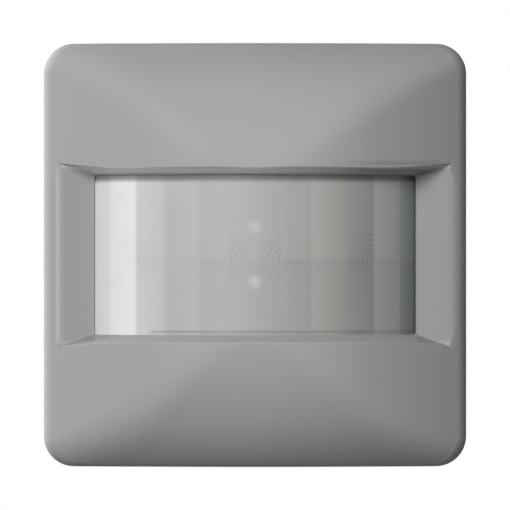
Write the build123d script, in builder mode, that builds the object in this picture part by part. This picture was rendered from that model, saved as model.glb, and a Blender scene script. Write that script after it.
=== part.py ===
"""Motion sensor light switch: a domed sensor head on a flush relay insert.

The wall is the plane Y = 0. The front looks along -Y, X runs to the right and Z up.
Depths are given as heights above the wall, so a piece at height h lies at Y = -h
and what sits in the wall box has negative heights.
"""

from build123d import *
import os
from math import acos, asin, atan2, cos, degrees, radians, sin, sqrt, tan

os.makedirs("parts", exist_ok=True)

# Fits shared by all pieces
overrun = 1.0
loose_fit = 0.3
close_fit = 0.1
pin_fit = 0.05

# Cover form
cover_size = 63.0
cover_half = cover_size / 2
cover_wall = 2.0
cover_corner_radius = 4.5
rim_round = 1.5
hip_round = 8.0
crown_height = 27.0
side_rim_height = 8.87
brow_rim_height = 13.7
brow_start = 13.4
brow_dip = 0.3
brow_slope_angle = 13.0
brow_ease_angle = 0.7
brow_tuck_angle = 5.3

# Lens and window recess
lens_setback = 2.7
lens_thickness = 0.7
lens_end_height = 10.03
lens_tuck_angle = 2.5
window_margin = 7.75
window_half_height = 11.8
lens_tuck = 1.4
visor_angle = 23.6
visor_skin = 1.6
wing_margin = 2.7
wing_rise = 1.67
wing_round = 1.8
lens_groove = 0.2
lens_segment_shares = (0.137, 0.29, 0.477, 0.661, 0.855)
lens_row_split = -0.6

# Lens frame
frame_thickness = 1.2
frame_half_height = 14.2
frame_window_half_height = 10.6
frame_window_inset_angle = 4.0

# Support ring
ring_border = 9.0
ring_thickness = 1.2
ring_corner_radius = 4.0
wall_screw_inset = 5.5
wall_screw_hole_radius = 1.8
box_screw_spacing = 60.0
box_screw_notch_radius = 1.9

# Insert housing
tub_width = 40.0
tub_height = 44.0
tub_corner_cut = 6.0
tub_wall = 1.5
tub_floor = 2.2
tub_depth = 26.0
flange_margin = 2.0
flange_thickness = 1.5
flange_corner_radius = 2.0
plate_thickness = 1.8

# Spreader claws and their screws
claw_pin_gap = 2.5
claw_pin_height = -3.8
claw_pin_radius = 0.8
claw_thickness = 1.0
claw_arm_half_width = 5.9
claw_screw_gap = 0.7
claw_screw_radius = 1.5

# Head tray and board
tray_gap = 0.2
tray_thickness = 1.6
tray_rim_height = 1.6
tray_rim_thickness = 1.2
head_gap = 0.5
board_thickness = 1.6
board_side_gap = 0.45
board_end_gap = 4.2
board_rise = 3.7
board_corner_radius = 2.0

# Heights of the stack, from the wall outwards
plate_rear = ring_thickness + flange_thickness
plate_front = plate_rear + plate_thickness
skirt_rear = ring_thickness + head_gap
tray_rear = plate_front + tray_gap
tray_front = tray_rear + tray_thickness
board_rear = tray_front + board_rise
board_front = board_rear + board_thickness

# The lens arc runs through the crown, set back, and through the two ends of the window
window_half_width = cover_half - window_margin
lens_rise = crown_height - lens_setback - lens_end_height
lens_radius = (window_half_width**2 + lens_rise**2) / (2 * lens_rise)
lens_half_angle = degrees(asin(window_half_width / lens_radius))
lens_inner_radius = lens_radius - lens_thickness
lens_half_height = window_half_height + lens_tuck
wing_half_width = cover_half - wing_margin

# The crown's arc has the lens's axis, and its flanks run straight from it down to the side rims
crown_radius = lens_radius + lens_setback
lens_axis_height = crown_height - crown_radius
flank_drop = side_rim_height - lens_axis_height
flank_distance = sqrt(cover_half**2 + flank_drop**2)
crown_half_angle = degrees(atan2(cover_half, flank_drop) - acos(crown_radius / flank_distance))

# The brow and the shoulder are two arcs that meet smoothly, from the window's edge to the upper or lower rim
brow_run = cover_half - brow_start
brow_drop = crown_height - brow_dip - brow_rim_height
chord_slope = atan2(brow_drop, brow_run)
brow_slope = radians(brow_slope_angle)
knee_slope = chord_slope - radians(brow_ease_angle)
rim_slope = 2 * chord_slope - brow_slope + radians(brow_tuck_angle)
brow_reach_share = sin(knee_slope) - sin(brow_slope)
brow_fall_share = cos(brow_slope) - cos(knee_slope)
shoulder_reach_share = sin(rim_slope) - sin(knee_slope)
shoulder_fall_share = cos(knee_slope) - cos(rim_slope)
balance_share = brow_reach_share * shoulder_fall_share - shoulder_reach_share * brow_fall_share
brow_radius = (brow_run * shoulder_fall_share - brow_drop * shoulder_reach_share) / balance_share
shoulder_radius = (brow_drop * brow_reach_share - brow_run * brow_fall_share) / balance_share
brow_centre = brow_start - brow_radius * sin(brow_slope)
brow_axis_height = crown_height - brow_dip - brow_radius * cos(brow_slope)
shoulder_centre = brow_centre + (brow_radius - shoulder_radius) * sin(knee_slope)
shoulder_axis_height = brow_axis_height + (brow_radius - shoulder_radius) * cos(knee_slope)

# The ring frames the tub, and the claws hang beside it
ring_size = tub_height + 2 * ring_border
wall_screw_spacing = ring_size - 2 * wall_screw_inset
claw_pin_x = tub_width / 2 + claw_pin_gap
claw_screw_offset = claw_pin_x + claw_thickness / 2 + claw_screw_gap + claw_screw_radius


def facing(height):
    """A plane parallel to the wall, looking at the viewer, at a height above the wall."""
    return Plane(origin=(0, -height, 0), x_dir=(1, 0, 0), z_dir=(0, -1, 0))


def backing(height):
    """A plane parallel to the wall, looking into the wall, at a height above the wall."""
    return Plane(origin=(0, -height, 0), x_dir=(1, 0, 0), z_dir=(0, 1, 0))


def on_lens(radius, angle):
    """The point of the plan view at a radius and angle about the lens axis, angle 0 at the front."""
    across = radius * sin(radians(angle))
    return across, -(lens_axis_height + radius * cos(radians(angle)))


def finish(piece, name):
    """Name a finished piece and write its file."""
    piece.part.label = name
    export_step(piece.part, f"parts/{name}.step")


# Front cover


def cover_form(inset, rear):
    """The cover's form drawn in by inset: two crossed vaults cut out of a rounded square block."""
    reach = cover_half + overrun
    side_radius = crown_radius - inset
    arc_x = side_radius * sin(radians(crown_half_angle))
    arc_y = -(lens_axis_height + side_radius * cos(radians(crown_half_angle)))
    flank_y = arc_y + (reach - arc_x) * tan(radians(crown_half_angle))
    end_turn = (rim_slope + radians(90)) / 2

    def brow_point(angle, radius, centre, axis_height, side):
        """A point of the upright vault, in the plane of Y and Z, above or below the middle."""
        return -(axis_height + radius * cos(angle)), side * (centre + radius * sin(angle))

    with BuildPart() as form:
        with BuildSketch(Plane.XY):
            with BuildLine():
                CenterArc((0, -lens_axis_height), side_radius, 270 - crown_half_angle, 2 * crown_half_angle)
                Polyline(
                    (arc_x, arc_y),
                    (reach, flank_y),
                    (reach, 0),
                    (-reach, 0),
                    (-reach, flank_y),
                    (-arc_x, arc_y),
                )
            make_face()
        extrude(amount=reach, both=True)
        with BuildSketch(Plane.YZ):
            with BuildLine():
                ends = []
                for side in (1, -1):
                    brow = (brow_radius - inset, brow_centre, brow_axis_height, side)
                    shoulder = (shoulder_radius - inset, shoulder_centre, shoulder_axis_height, side)
                    crest = brow_point(0, *brow)
                    knee = brow_point(knee_slope, *brow)
                    foot = brow_point(end_turn, *shoulder)
                    ThreePointArc(crest, brow_point(knee_slope / 2, *brow), knee)
                    ThreePointArc(knee, brow_point((knee_slope + end_turn) / 2, *shoulder), foot)
                    ends.append((crest, foot))
                (top_crest, top_foot), (low_crest, low_foot) = ends
                Line(top_crest, low_crest)
                Polyline(top_foot, (0, top_foot[1]), (0, low_foot[1]), low_foot)
            make_face()
        extrude(amount=reach, both=True, mode=Mode.INTERSECT)
        with BuildSketch(facing(rear)):
            RectangleRounded(2 * (cover_half - inset), 2 * (cover_half - inset), cover_corner_radius - inset)
        extrude(amount=crown_height, mode=Mode.INTERSECT)
    return form.part


def recess_form(skin):
    """The window recess grown by skin: a wedge turned about the lens axis, cut off behind the wings."""
    front_radius = crown_radius + wing_half_width / 2
    spread = (front_radius - lens_radius) * tan(radians(visor_angle))
    start_radius = lens_radius + pin_fit
    near = window_half_height + skin
    far = near + spread
    inner_x, inner_y = on_lens(lens_radius, lens_half_angle)
    wing_run = wing_half_width - inner_x
    wing_length = sqrt(wing_run**2 + wing_rise**2)
    lean_x, lean_y = wing_rise / wing_length, wing_run / wing_length
    root = (inner_x + skin * lean_x, inner_y + skin * lean_y)
    tip = (root[0] + 2 * wing_run, root[1] - 2 * wing_rise)
    ahead = -(crown_height + front_radius)
    with BuildPart() as form:
        with BuildSketch(Plane.YZ):
            with BuildLine():
                Polyline(
                    (-lens_axis_height - start_radius, -near),
                    (-lens_axis_height - start_radius, near),
                    (-lens_axis_height - front_radius, far),
                    (-lens_axis_height - front_radius, -far),
                    close=True,
                )
            make_face()
        revolve(axis=Axis((0, -lens_axis_height, 0), (0, 0, 1)), revolution_arc=360)
        with BuildSketch(Plane.XY):
            with BuildLine():
                Polyline(
                    (0, -lens_axis_height),
                    root,
                    tip,
                    (tip[0], ahead),
                    (-tip[0], ahead),
                    (-tip[0], tip[1]),
                    (-root[0], root[1]),
                    close=True,
                )
            make_face()
        extrude(amount=far, both=True, mode=Mode.INTERSECT)
    return form.part


post_margin = 7.0
post_offset = cover_half - post_margin
post_radius = 2.6
post_hole_radius = 1.0
post_hole_depth = 5.0

with BuildPart() as cover_outside:
    add(cover_form(0, skirt_rear))
    hips = (
        cover_outside.edges()
        .filter_by(lambda edge: edge.geom_type in (GeomType.BSPLINE, GeomType.ELLIPSE))
        .filter_by(lambda edge: -edge.center().Y > crown_height / 2 - overrun)
        .filter_by(lambda edge: abs(edge.center().Z) < cover_half - rim_round)
    )
    fillet(hips, radius=hip_round)
    rim_edges = (
        cover_outside.edges()
        .filter_by(lambda edge: max(abs(edge.center().X), abs(edge.center().Z)) > cover_half - cover_wall)
        .filter_by(lambda edge: abs(edge.tangent_at(0.5).Y) < cos(knee_slope))
        .filter_by(lambda edge: -edge.center().Y > skirt_rear + overrun)
    )
    fillet(rim_edges, radius=rim_round)

recess = recess_form(0)
recess_skin = recess_form(visor_skin)

with BuildPart() as front_cover:
    add(cover_outside.part)
    add(cover_form(cover_wall, skirt_rear - overrun), mode=Mode.SUBTRACT)
    add(cover_outside.part & recess_skin)
    with BuildSketch(facing(tray_front)):
        with GridLocations(2 * post_offset, 2 * post_offset, 2, 2):
            Circle(post_radius)
    extrude(until=Until.NEXT)
    add(recess, mode=Mode.SUBTRACT)
    with Locations(backing(tray_front)):
        with GridLocations(2 * post_offset, 2 * post_offset, 2, 2):
            Hole(post_hole_radius, depth=post_hole_depth)
    wing_edges = (
        front_cover.edges()
        .filter_by(Axis.Z)
        .filter_by(lambda edge: abs(abs(edge.center().X) - wing_half_width) < rim_round / 2)
        .filter_by(lambda edge: -edge.center().Y > lens_end_height)
    )
    fillet(wing_edges, radius=wing_round)
finish(front_cover, "front_cover")

# Fresnel lens: a curved shell with fine grooves between its rows and segments on the inside

with BuildPart() as fresnel_lens:
    with BuildSketch(Plane.XY.offset(-lens_half_height)):
        lens_reach = lens_half_angle + lens_tuck_angle
        with BuildLine():
            CenterArc((0, -lens_axis_height), lens_radius, 270 - lens_reach, 2 * lens_reach)
            CenterArc((0, -lens_axis_height), lens_inner_radius, 270 - lens_reach, 2 * lens_reach)
            Line(on_lens(lens_radius, lens_reach), on_lens(lens_inner_radius, lens_reach))
            Line(on_lens(lens_radius, -lens_reach), on_lens(lens_inner_radius, -lens_reach))
        make_face()
    extrude(amount=2 * lens_half_height)
    with BuildSketch(Plane.XY.offset(-window_half_height)):
        for segment_share in lens_segment_shares:
            for turned in (segment_share * lens_half_angle, -segment_share * lens_half_angle):
                with Locations(on_lens(lens_inner_radius, turned)):
                    Rectangle(lens_groove, 2 * lens_groove, rotation=turned)
    extrude(amount=2 * window_half_height, mode=Mode.SUBTRACT)
    with BuildSketch(Plane.XY.offset(lens_row_split - lens_groove / 2)):
        with Locations((0, -lens_axis_height)):
            Circle(lens_inner_radius + lens_groove)
    extrude(amount=lens_groove, mode=Mode.SUBTRACT)
finish(fresnel_lens, "fresnel_lens")

# Lens frame: an arc that stands on the tray, open where the sensor looks out

frame_outer_radius = lens_inner_radius - close_fit
frame_inner_radius = frame_outer_radius - frame_thickness

with BuildPart() as lens_frame:
    with BuildSketch(Plane.XY.offset(-frame_half_height)):
        with Locations((0, -lens_axis_height)):
            Circle(frame_outer_radius)
            Circle(frame_inner_radius, mode=Mode.SUBTRACT)
    extrude(amount=2 * frame_half_height)
    with BuildSketch(Plane.XY.offset(-frame_window_half_height)):
        with BuildLine():
            side_x, side_y = on_lens(2 * frame_outer_radius, lens_half_angle - frame_window_inset_angle)
            front_y = -2 * crown_height
            Polyline(
                (0, -lens_axis_height),
                (side_x, side_y),
                (side_x, front_y),
                (-side_x, front_y),
                (-side_x, side_y),
                close=True,
            )
        make_face()
    extrude(amount=2 * frame_window_half_height, mode=Mode.SUBTRACT)
    with BuildSketch(facing(tray_front)):
        Rectangle(cover_size, cover_size)
    extrude(amount=-cover_size, mode=Mode.SUBTRACT)
finish(lens_frame, "lens_frame")

# Rear housing: a tray inside the skirt that closes the head from behind

tray_half = cover_half - cover_wall - loose_fit
tray_corner_radius = cover_corner_radius - cover_wall - loose_fit
cover_screw_radius = 1.0
cover_screw_head_radius = 1.9
cover_screw_length = 6.0
board_screw_offset_x = 17.0
board_screw_inset = 3.0
board_screw_radius = 1.0
board_screw_head_radius = 1.9
board_screw_head_height = 1.2
pillar_radius = 2.4
board_length = 2 * (tray_half - board_end_gap)
board_reach = board_front - lens_axis_height
board_width = 2 * (sqrt(frame_inner_radius**2 - board_reach**2) - board_side_gap)
board_screw_offset_z = board_length / 2 - board_screw_inset

dial_spacing = 11.0
dial_row_inset = 5.0
dial_radius = 2.75
dial_recess = 0.2
dial_head_height = 1.5
dial_stem_radius = 1.2
dial_stem_length = 2.0
dial_slot_width = 0.8
dial_slot_depth = 0.7
trimmer_size = 6.6
trimmer_height = 3.3
trimmer_round = 0.6

plug_z = -16.0
plug_pin_count = 6
plug_pin_pitch = 3.5
plug_pin_size = 0.8
plug_width = 21.6
plug_thickness = 4.0
plug_insertion = 1.6
plug_pin_rise = 1.0
plug_pin_reach = 3.2

leaf_thickness = 0.4
leaf_width = 6.0
leaf_tab_start = 9.6
leaf_leg_inset = 4.7
leaf_nose_reach = 2.1
leaf_leg_x = tub_width / 2 - leaf_leg_inset
leaf_nose_x = leaf_leg_x + leaf_nose_reach
leaf_nose_height = 1.9
leaf_tail_height = -0.4
leaf_slot_half_height = leaf_width / 2 + loose_fit
dial_row_z = board_screw_offset_z - dial_row_inset

with BuildPart() as rear_housing:
    with BuildSketch(facing(tray_rear)):
        RectangleRounded(2 * tray_half, 2 * tray_half, tray_corner_radius)
    extrude(amount=tray_thickness)
    with BuildSketch(facing(tray_front)):
        RectangleRounded(2 * tray_half, 2 * tray_half, tray_corner_radius)
        offset(amount=-tray_rim_thickness, kind=Kind.INTERSECTION, mode=Mode.SUBTRACT)
    extrude(amount=tray_rim_height)
    with BuildSketch(facing(tray_front)):
        with GridLocations(2 * board_screw_offset_x, 2 * board_screw_offset_z, 2, 2):
            Circle(pillar_radius)
    extrude(amount=board_rise)
    with Locations(facing(board_rear)):
        with GridLocations(2 * board_screw_offset_x, 2 * board_screw_offset_z, 2, 2):
            Hole(board_screw_radius, depth=board_rise)
    with Locations(backing(tray_rear)):
        with GridLocations(2 * post_offset, 2 * post_offset, 2, 2):
            CounterSinkHole(
                cover_screw_radius + close_fit, cover_screw_head_radius + close_fit, depth=tray_thickness
            )
    with BuildSketch(facing(tray_rear)):
        with Locations((0, plug_z)):
            Rectangle(plug_width + 2 * loose_fit, plug_thickness + 2 * loose_fit)
        with Locations((0, dial_row_z)):
            with GridLocations(dial_spacing, 0, 3, 1):
                Circle(dial_radius + loose_fit)
        with GridLocations(2 * leaf_leg_x, 0, 2, 1):
            Rectangle(leaf_thickness + 2 * loose_fit, 2 * leaf_slot_half_height)
    extrude(amount=tray_thickness, mode=Mode.SUBTRACT)
finish(rear_housing, "rear_housing")

with BuildPart() as cover_screws:
    with Locations(backing(tray_rear + close_fit)):
        with GridLocations(2 * post_offset, 2 * post_offset, 2, 2):
            head_depth = cover_screw_head_radius - cover_screw_radius
            with Locations((0, 0, -head_depth)):
                Cone(
                    cover_screw_radius,
                    cover_screw_head_radius,
                    head_depth,
                    align=(Align.CENTER, Align.CENTER, Align.MIN),
                )
                Cylinder(
                    cover_screw_radius,
                    cover_screw_length - head_depth,
                    align=(Align.CENTER, Align.CENTER, Align.MAX),
                )
finish(cover_screws, "cover_screws")

# Sensor board and what it carries

pyro_base_radius = 4.4
pyro_base_height = 0.6
pyro_flange_radius = 4.55
pyro_flange_height = 0.5
pyro_can_radius = 4.1
pyro_can_height = 4.2
pyro_can_wall = 0.3
pyro_window_width = 3.9
pyro_window_height = 3.2
pyro_window_thickness = 0.35
pyro_lead_radius = 0.225
pyro_lead_circle = 2.54
pyro_lead_tail = 1.0
pyro_top = board_front + pyro_base_height + pyro_can_height

signal_part_x = 9.5
signal_part_z = -8.0
light_sensor_width = 3.2
light_sensor_height = 2.0
light_sensor_thickness = 1.1
led_radius = 1.5
led_flange_radius = 1.8
led_flange_height = 0.6
led_height = 4.2

controller_size = 7.0
controller_thickness = 1.2
controller_inset = 5.0
controller_z = board_length / 2 - controller_inset
controller_lead_count = 6
controller_lead_pitch = 1.0
controller_lead_width = 0.45
controller_lead_reach = 1.0
controller_lead_thickness = 0.25

chip_length = 2.0
chip_width = 1.25
chip_thickness = 0.6
chip_columns = 2
chip_rows = 3
chip_pitch_x = 24.0
chip_pitch_z = 4.0

capacitor_radius = 2.5
capacitor_height = 6.0
capacitor_x = -11.0
capacitor_inset = 3.7
capacitor_z = capacitor_inset - board_length / 2
capacitor_round = 0.4

with BuildPart() as sensor_board:
    with BuildSketch(facing(board_rear)):
        RectangleRounded(board_width, board_length, board_corner_radius)
        with GridLocations(2 * board_screw_offset_x, 2 * board_screw_offset_z, 2, 2):
            Circle(board_screw_radius + close_fit, mode=Mode.SUBTRACT)
        with Locations((0, plug_z)):
            with GridLocations(plug_pin_pitch, 0, plug_pin_count, 1):
                Rectangle(plug_pin_size + 2 * pin_fit, plug_pin_size + 2 * pin_fit, mode=Mode.SUBTRACT)
        with PolarLocations(pyro_lead_circle, 3):
            Circle(pyro_lead_radius + pin_fit, mode=Mode.SUBTRACT)
    extrude(amount=board_thickness)
finish(sensor_board, "sensor_board")

with BuildPart() as board_screws:
    with Locations(facing(board_front)):
        with GridLocations(2 * board_screw_offset_x, 2 * board_screw_offset_z, 2, 2):
            Cylinder(
                board_screw_head_radius, board_screw_head_height, align=(Align.CENTER, Align.CENTER, Align.MIN)
            )
            Cylinder(
                board_screw_radius - pin_fit,
                board_thickness + board_rise - loose_fit,
                align=(Align.CENTER, Align.CENTER, Align.MAX),
            )
finish(board_screws, "board_screws")

with BuildPart() as pyro_base:
    with BuildSketch(facing(board_front)):
        Circle(pyro_base_radius)
        with PolarLocations(pyro_lead_circle, 3):
            Circle(pyro_lead_radius + pin_fit, mode=Mode.SUBTRACT)
    extrude(amount=pyro_base_height)
finish(pyro_base, "pyro_base")

with BuildPart() as pyro_can:
    with BuildSketch(facing(board_front + pyro_base_height)):
        Circle(pyro_flange_radius)
    extrude(amount=pyro_flange_height)
    with BuildSketch(facing(board_front + pyro_base_height)):
        Circle(pyro_can_radius)
    extrude(amount=pyro_can_height)
    fillet(pyro_can.edges().group_by(Axis.Y)[0], radius=pyro_can_wall)
    with BuildSketch(facing(board_front + pyro_base_height)):
        Circle(pyro_can_radius - pyro_can_wall)
    extrude(amount=pyro_can_height - pyro_can_wall, mode=Mode.SUBTRACT)
    with BuildSketch(facing(pyro_top - pyro_can_wall)):
        Rectangle(pyro_window_width, pyro_window_height)
    extrude(amount=pyro_can_wall, mode=Mode.SUBTRACT)
finish(pyro_can, "pyro_can")

with BuildPart() as pyro_window:
    with BuildSketch(facing(pyro_top - pyro_can_wall - pyro_window_thickness)):
        Rectangle(pyro_window_width + pyro_can_wall, pyro_window_height + pyro_can_wall)
    extrude(amount=pyro_window_thickness)
finish(pyro_window, "pyro_window")

with BuildPart() as pyro_leads:
    with BuildSketch(facing(board_rear - pyro_lead_tail)):
        with PolarLocations(pyro_lead_circle, 3):
            Circle(pyro_lead_radius)
    extrude(amount=pyro_lead_tail + board_thickness + pyro_base_height + pyro_flange_height)
finish(pyro_leads, "pyro_leads")

with BuildPart() as light_sensor:
    with BuildSketch(facing(board_front)):
        with Locations((signal_part_x, signal_part_z)):
            Rectangle(light_sensor_width, light_sensor_height)
    extrude(amount=light_sensor_thickness)
finish(light_sensor, "light_sensor")

with BuildPart() as indicator_led:
    with BuildSketch(facing(board_front)):
        with Locations((-signal_part_x, signal_part_z)):
            Circle(led_flange_radius)
    extrude(amount=led_flange_height)
    with BuildSketch(facing(board_front)):
        with Locations((-signal_part_x, signal_part_z)):
            Circle(led_radius)
    extrude(amount=led_height)
    fillet(indicator_led.edges().group_by(Axis.Y)[0], radius=led_radius - pin_fit)
finish(indicator_led, "indicator_led")

with BuildPart() as microcontroller:
    with BuildSketch(facing(board_front)):
        with Locations((0, controller_z)):
            Rectangle(controller_size, controller_size)
    extrude(amount=controller_thickness)
    with BuildSketch(facing(board_front)):
        lead_span = controller_size + 2 * controller_lead_reach
        with Locations((0, controller_z)):
            with GridLocations(0, controller_lead_pitch, 1, controller_lead_count):
                Rectangle(lead_span, controller_lead_width)
            with GridLocations(controller_lead_pitch, 0, controller_lead_count, 1):
                Rectangle(controller_lead_width, lead_span)
    extrude(amount=controller_lead_thickness)
finish(microcontroller, "microcontroller")

with BuildPart() as chip_parts:
    with BuildSketch(facing(board_front)):
        with Locations((0, controller_z - chip_pitch_z)):
            with GridLocations(chip_pitch_x, chip_pitch_z, chip_columns, chip_rows):
                Rectangle(chip_length, chip_width)
    extrude(amount=chip_thickness)
finish(chip_parts, "chip_parts")

with BuildPart() as sensor_capacitor:
    with BuildSketch(facing(board_front)):
        with Locations((capacitor_x, capacitor_z)):
            Circle(capacitor_radius)
    extrude(amount=capacitor_height)
    fillet(sensor_capacitor.edges().group_by(Axis.Y)[0], radius=capacitor_round)
finish(sensor_capacitor, "sensor_capacitor")

with BuildPart() as trimmer_bodies:
    with BuildSketch(facing(board_rear)):
        with Locations((0, dial_row_z)):
            with GridLocations(dial_spacing, 0, 3, 1):
                RectangleRounded(trimmer_size, trimmer_size, trimmer_round)
                Circle(dial_stem_radius + pin_fit, mode=Mode.SUBTRACT)
    extrude(amount=-trimmer_height)
finish(trimmer_bodies, "trimmer_bodies")

# Setting dials: a slotted head behind the tray and a stem that turns in the trimmer

dial_rear = tray_rear + dial_recess
dial_front = dial_rear + dial_head_height

for dial_name, dial_x in (
    ("brightness_dial", -dial_spacing),
    ("delay_dial", 0.0),
    ("range_dial", dial_spacing),
):
    with BuildPart() as dial:
        with BuildSketch(facing(dial_rear)):
            with Locations((dial_x, dial_row_z)):
                Circle(dial_radius)
        extrude(amount=dial_head_height)
        with BuildSketch(facing(dial_front)):
            with Locations((dial_x, dial_row_z)):
                Circle(dial_stem_radius)
        extrude(amount=dial_stem_length)
        with BuildSketch(facing(dial_rear)):
            with Locations((dial_x, dial_row_z)):
                Rectangle(dial_slot_width, 2 * dial_radius)
        extrude(amount=dial_slot_depth, mode=Mode.SUBTRACT)
    finish(dial, dial_name)

# Plug of the head

plug_end = plate_front - plug_insertion
with BuildPart() as plug_body:
    with BuildSketch(facing(plug_end)):
        with Locations((0, plug_z)):
            Rectangle(plug_width, plug_thickness)
            with GridLocations(plug_pin_pitch, 0, plug_pin_count, 1):
                Rectangle(plug_pin_size + 2 * pin_fit, plug_pin_size + 2 * pin_fit, mode=Mode.SUBTRACT)
    extrude(amount=board_rear - plug_end)
finish(plug_body, "plug_body")

with BuildPart() as plug_pins:
    with BuildSketch(facing(-plug_pin_reach)):
        with Locations((0, plug_z)):
            with GridLocations(plug_pin_pitch, 0, plug_pin_count, 1):
                Rectangle(plug_pin_size, plug_pin_size)
    extrude(amount=plug_pin_reach + board_front + plug_pin_rise)
finish(plug_pins, "plug_pins")

# Leaf springs that hold the head: a tab on the tray, a leg through it and a nose in the insert's slot

for side, leaf_name in ((-1, "retaining_spring_left"), (1, "retaining_spring_right")):
    tab_height = tray_front + leaf_thickness / 2
    with BuildPart() as leaf:
        with BuildSketch(Plane.XY.offset(-leaf_width / 2)):
            with BuildLine():
                Polyline(
                    (side * leaf_tab_start, -tab_height),
                    (side * leaf_leg_x, -tab_height),
                    (side * leaf_leg_x, -(leaf_nose_height + leaf_nose_x - leaf_leg_x)),
                    (side * leaf_nose_x, -leaf_nose_height),
                    (side * leaf_leg_x, -leaf_tail_height),
                )
            trace(line_width=leaf_thickness)
        extrude(amount=leaf_width)
    finish(leaf, leaf_name)

# Support ring: the steel plate that is screwed to the wall or the wall box

ring_half = ring_size / 2
assembly_screw_inset = 0.7
assembly_screw_x = tub_width / 2 - assembly_screw_inset
assembly_screw_z = tub_height / 2 - assembly_screw_inset
assembly_screw_radius = 1.25
assembly_screw_head_radius = 2.2
lug_thickness = 1.2
lug_half_width = 1.5
lug_end_margin = 1.5
lug_inner_z = claw_arm_half_width + loose_fit
box_notch_offset = box_screw_spacing / 2


def cut_corners(width, height, corner_cut):
    """The corner points of a rectangle whose corners are cut off at 45 degrees."""
    half_width, half_height = width / 2, height / 2
    quarter = ((half_width, half_height - corner_cut), (half_width - corner_cut, half_height))
    upper = [*quarter, *((-x, z) for x, z in reversed(quarter))]
    return [*upper, *((-x, -z) for x, z in upper)]


with BuildPart() as support_ring:
    with BuildSketch(facing(0)):
        RectangleRounded(ring_size, ring_size, ring_corner_radius)
        with GridLocations(wall_screw_spacing, wall_screw_spacing, 2, 2):
            Circle(wall_screw_hole_radius, mode=Mode.SUBTRACT)
        with GridLocations(2 * claw_screw_offset, 0, 2, 1):
            Circle(claw_screw_radius + close_fit, mode=Mode.SUBTRACT)
        with GridLocations(2 * assembly_screw_x, 2 * assembly_screw_z, 2, 2):
            Circle(assembly_screw_radius + pin_fit, mode=Mode.SUBTRACT)
        with GridLocations(0, 2 * box_notch_offset, 1, 2):
            Circle(box_screw_notch_radius, mode=Mode.SUBTRACT)
        with GridLocations(0, 2 * (box_notch_offset + box_screw_notch_radius), 1, 2):
            Rectangle(2 * box_screw_notch_radius, 2 * box_screw_notch_radius, mode=Mode.SUBTRACT)
    extrude(amount=ring_thickness)
    with BuildSketch(facing(-overrun)):
        Polygon(*cut_corners(tub_width + 2 * close_fit, tub_height + 2 * close_fit, tub_corner_cut), align=None)
    extrude(amount=ring_thickness + 2 * overrun, mode=Mode.SUBTRACT)
    with BuildSketch(facing(0)):
        with GridLocations(2 * claw_pin_x, 2 * lug_inner_z + lug_thickness, 2, 2):
            Rectangle(2 * lug_half_width, lug_thickness)
    extrude(amount=claw_pin_height - lug_end_margin)
    with BuildSketch(Plane.XY):
        with GridLocations(2 * claw_pin_x, 0, 2, 1):
            with Locations((0, -claw_pin_height)):
                Circle(claw_pin_radius)
    extrude(amount=ring_half, both=True, mode=Mode.SUBTRACT)
finish(support_ring, "support_ring")

# Insert housing: a tub with a front flange, open to the front

tub_floor_front = tub_floor - tub_depth
tub_inner_width = tub_width - 2 * tub_wall
tub_inner_height = tub_height - 2 * tub_wall
flange_width = tub_width + 2 * flange_margin
flange_height = tub_height + 2 * flange_margin

power_board_front = -5.0
power_board_rear = power_board_front - board_thickness
power_board_gap = 0.3
ledge_width = 2.5
ledge_height = 5.0
ledge_z = 9.0

pole_count = 4
pole_web = 1.6
terminal_margin = 6.0
terminal_width = tub_width - 2 * terminal_margin
pole_pitch = terminal_width / pole_count
entry_width = pole_pitch - pole_web
entry_height = 4.6
entry_z = -16.0
lever_window_side = 0.8
lever_width = entry_width - 2 * (lever_window_side + loose_fit)
lever_height = 2.2
lever_z = -10.6
lever_window_width = lever_width + 2 * loose_fit
lever_window_height = lever_height + 2 * loose_fit
leaf_slot_width = 3.6
leaf_slot_inset = 3.6
leaf_slot_x = tub_width / 2 - leaf_slot_inset

with BuildPart() as insert_housing:
    with BuildSketch(facing(-tub_depth)):
        Polygon(*cut_corners(tub_width, tub_height, tub_corner_cut), align=None)
    extrude(amount=tub_depth + plate_rear)
    with BuildSketch(facing(ring_thickness)):
        RectangleRounded(flange_width, flange_height, flange_corner_radius)
    extrude(amount=flange_thickness)
    with BuildSketch(facing(tub_floor_front)):
        Polygon(*cut_corners(tub_inner_width, tub_inner_height, tub_corner_cut), align=None)
    extrude(amount=plate_rear - tub_floor_front, mode=Mode.SUBTRACT)
    with BuildSketch(facing(tub_floor_front)):
        with GridLocations(tub_inner_width - ledge_width, 2 * ledge_z, 2, 2):
            Rectangle(ledge_width, ledge_height)
    extrude(amount=power_board_rear - tub_floor_front)
    with BuildSketch(facing(ring_thickness)):
        with GridLocations(2 * assembly_screw_x, 2 * assembly_screw_z, 2, 2):
            Circle(assembly_screw_radius + close_fit)
    extrude(amount=flange_thickness, mode=Mode.SUBTRACT)
    with BuildSketch(facing(-tub_depth)):
        with Locations((0, entry_z)):
            with GridLocations(pole_pitch, 0, pole_count, 1):
                Rectangle(entry_width, entry_height)
        with Locations((0, lever_z)):
            with GridLocations(pole_pitch, 0, pole_count, 1):
                Rectangle(lever_window_width, lever_window_height)
    extrude(amount=tub_floor, mode=Mode.SUBTRACT)
finish(insert_housing, "insert_housing")

# Front plate of the insert

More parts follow.
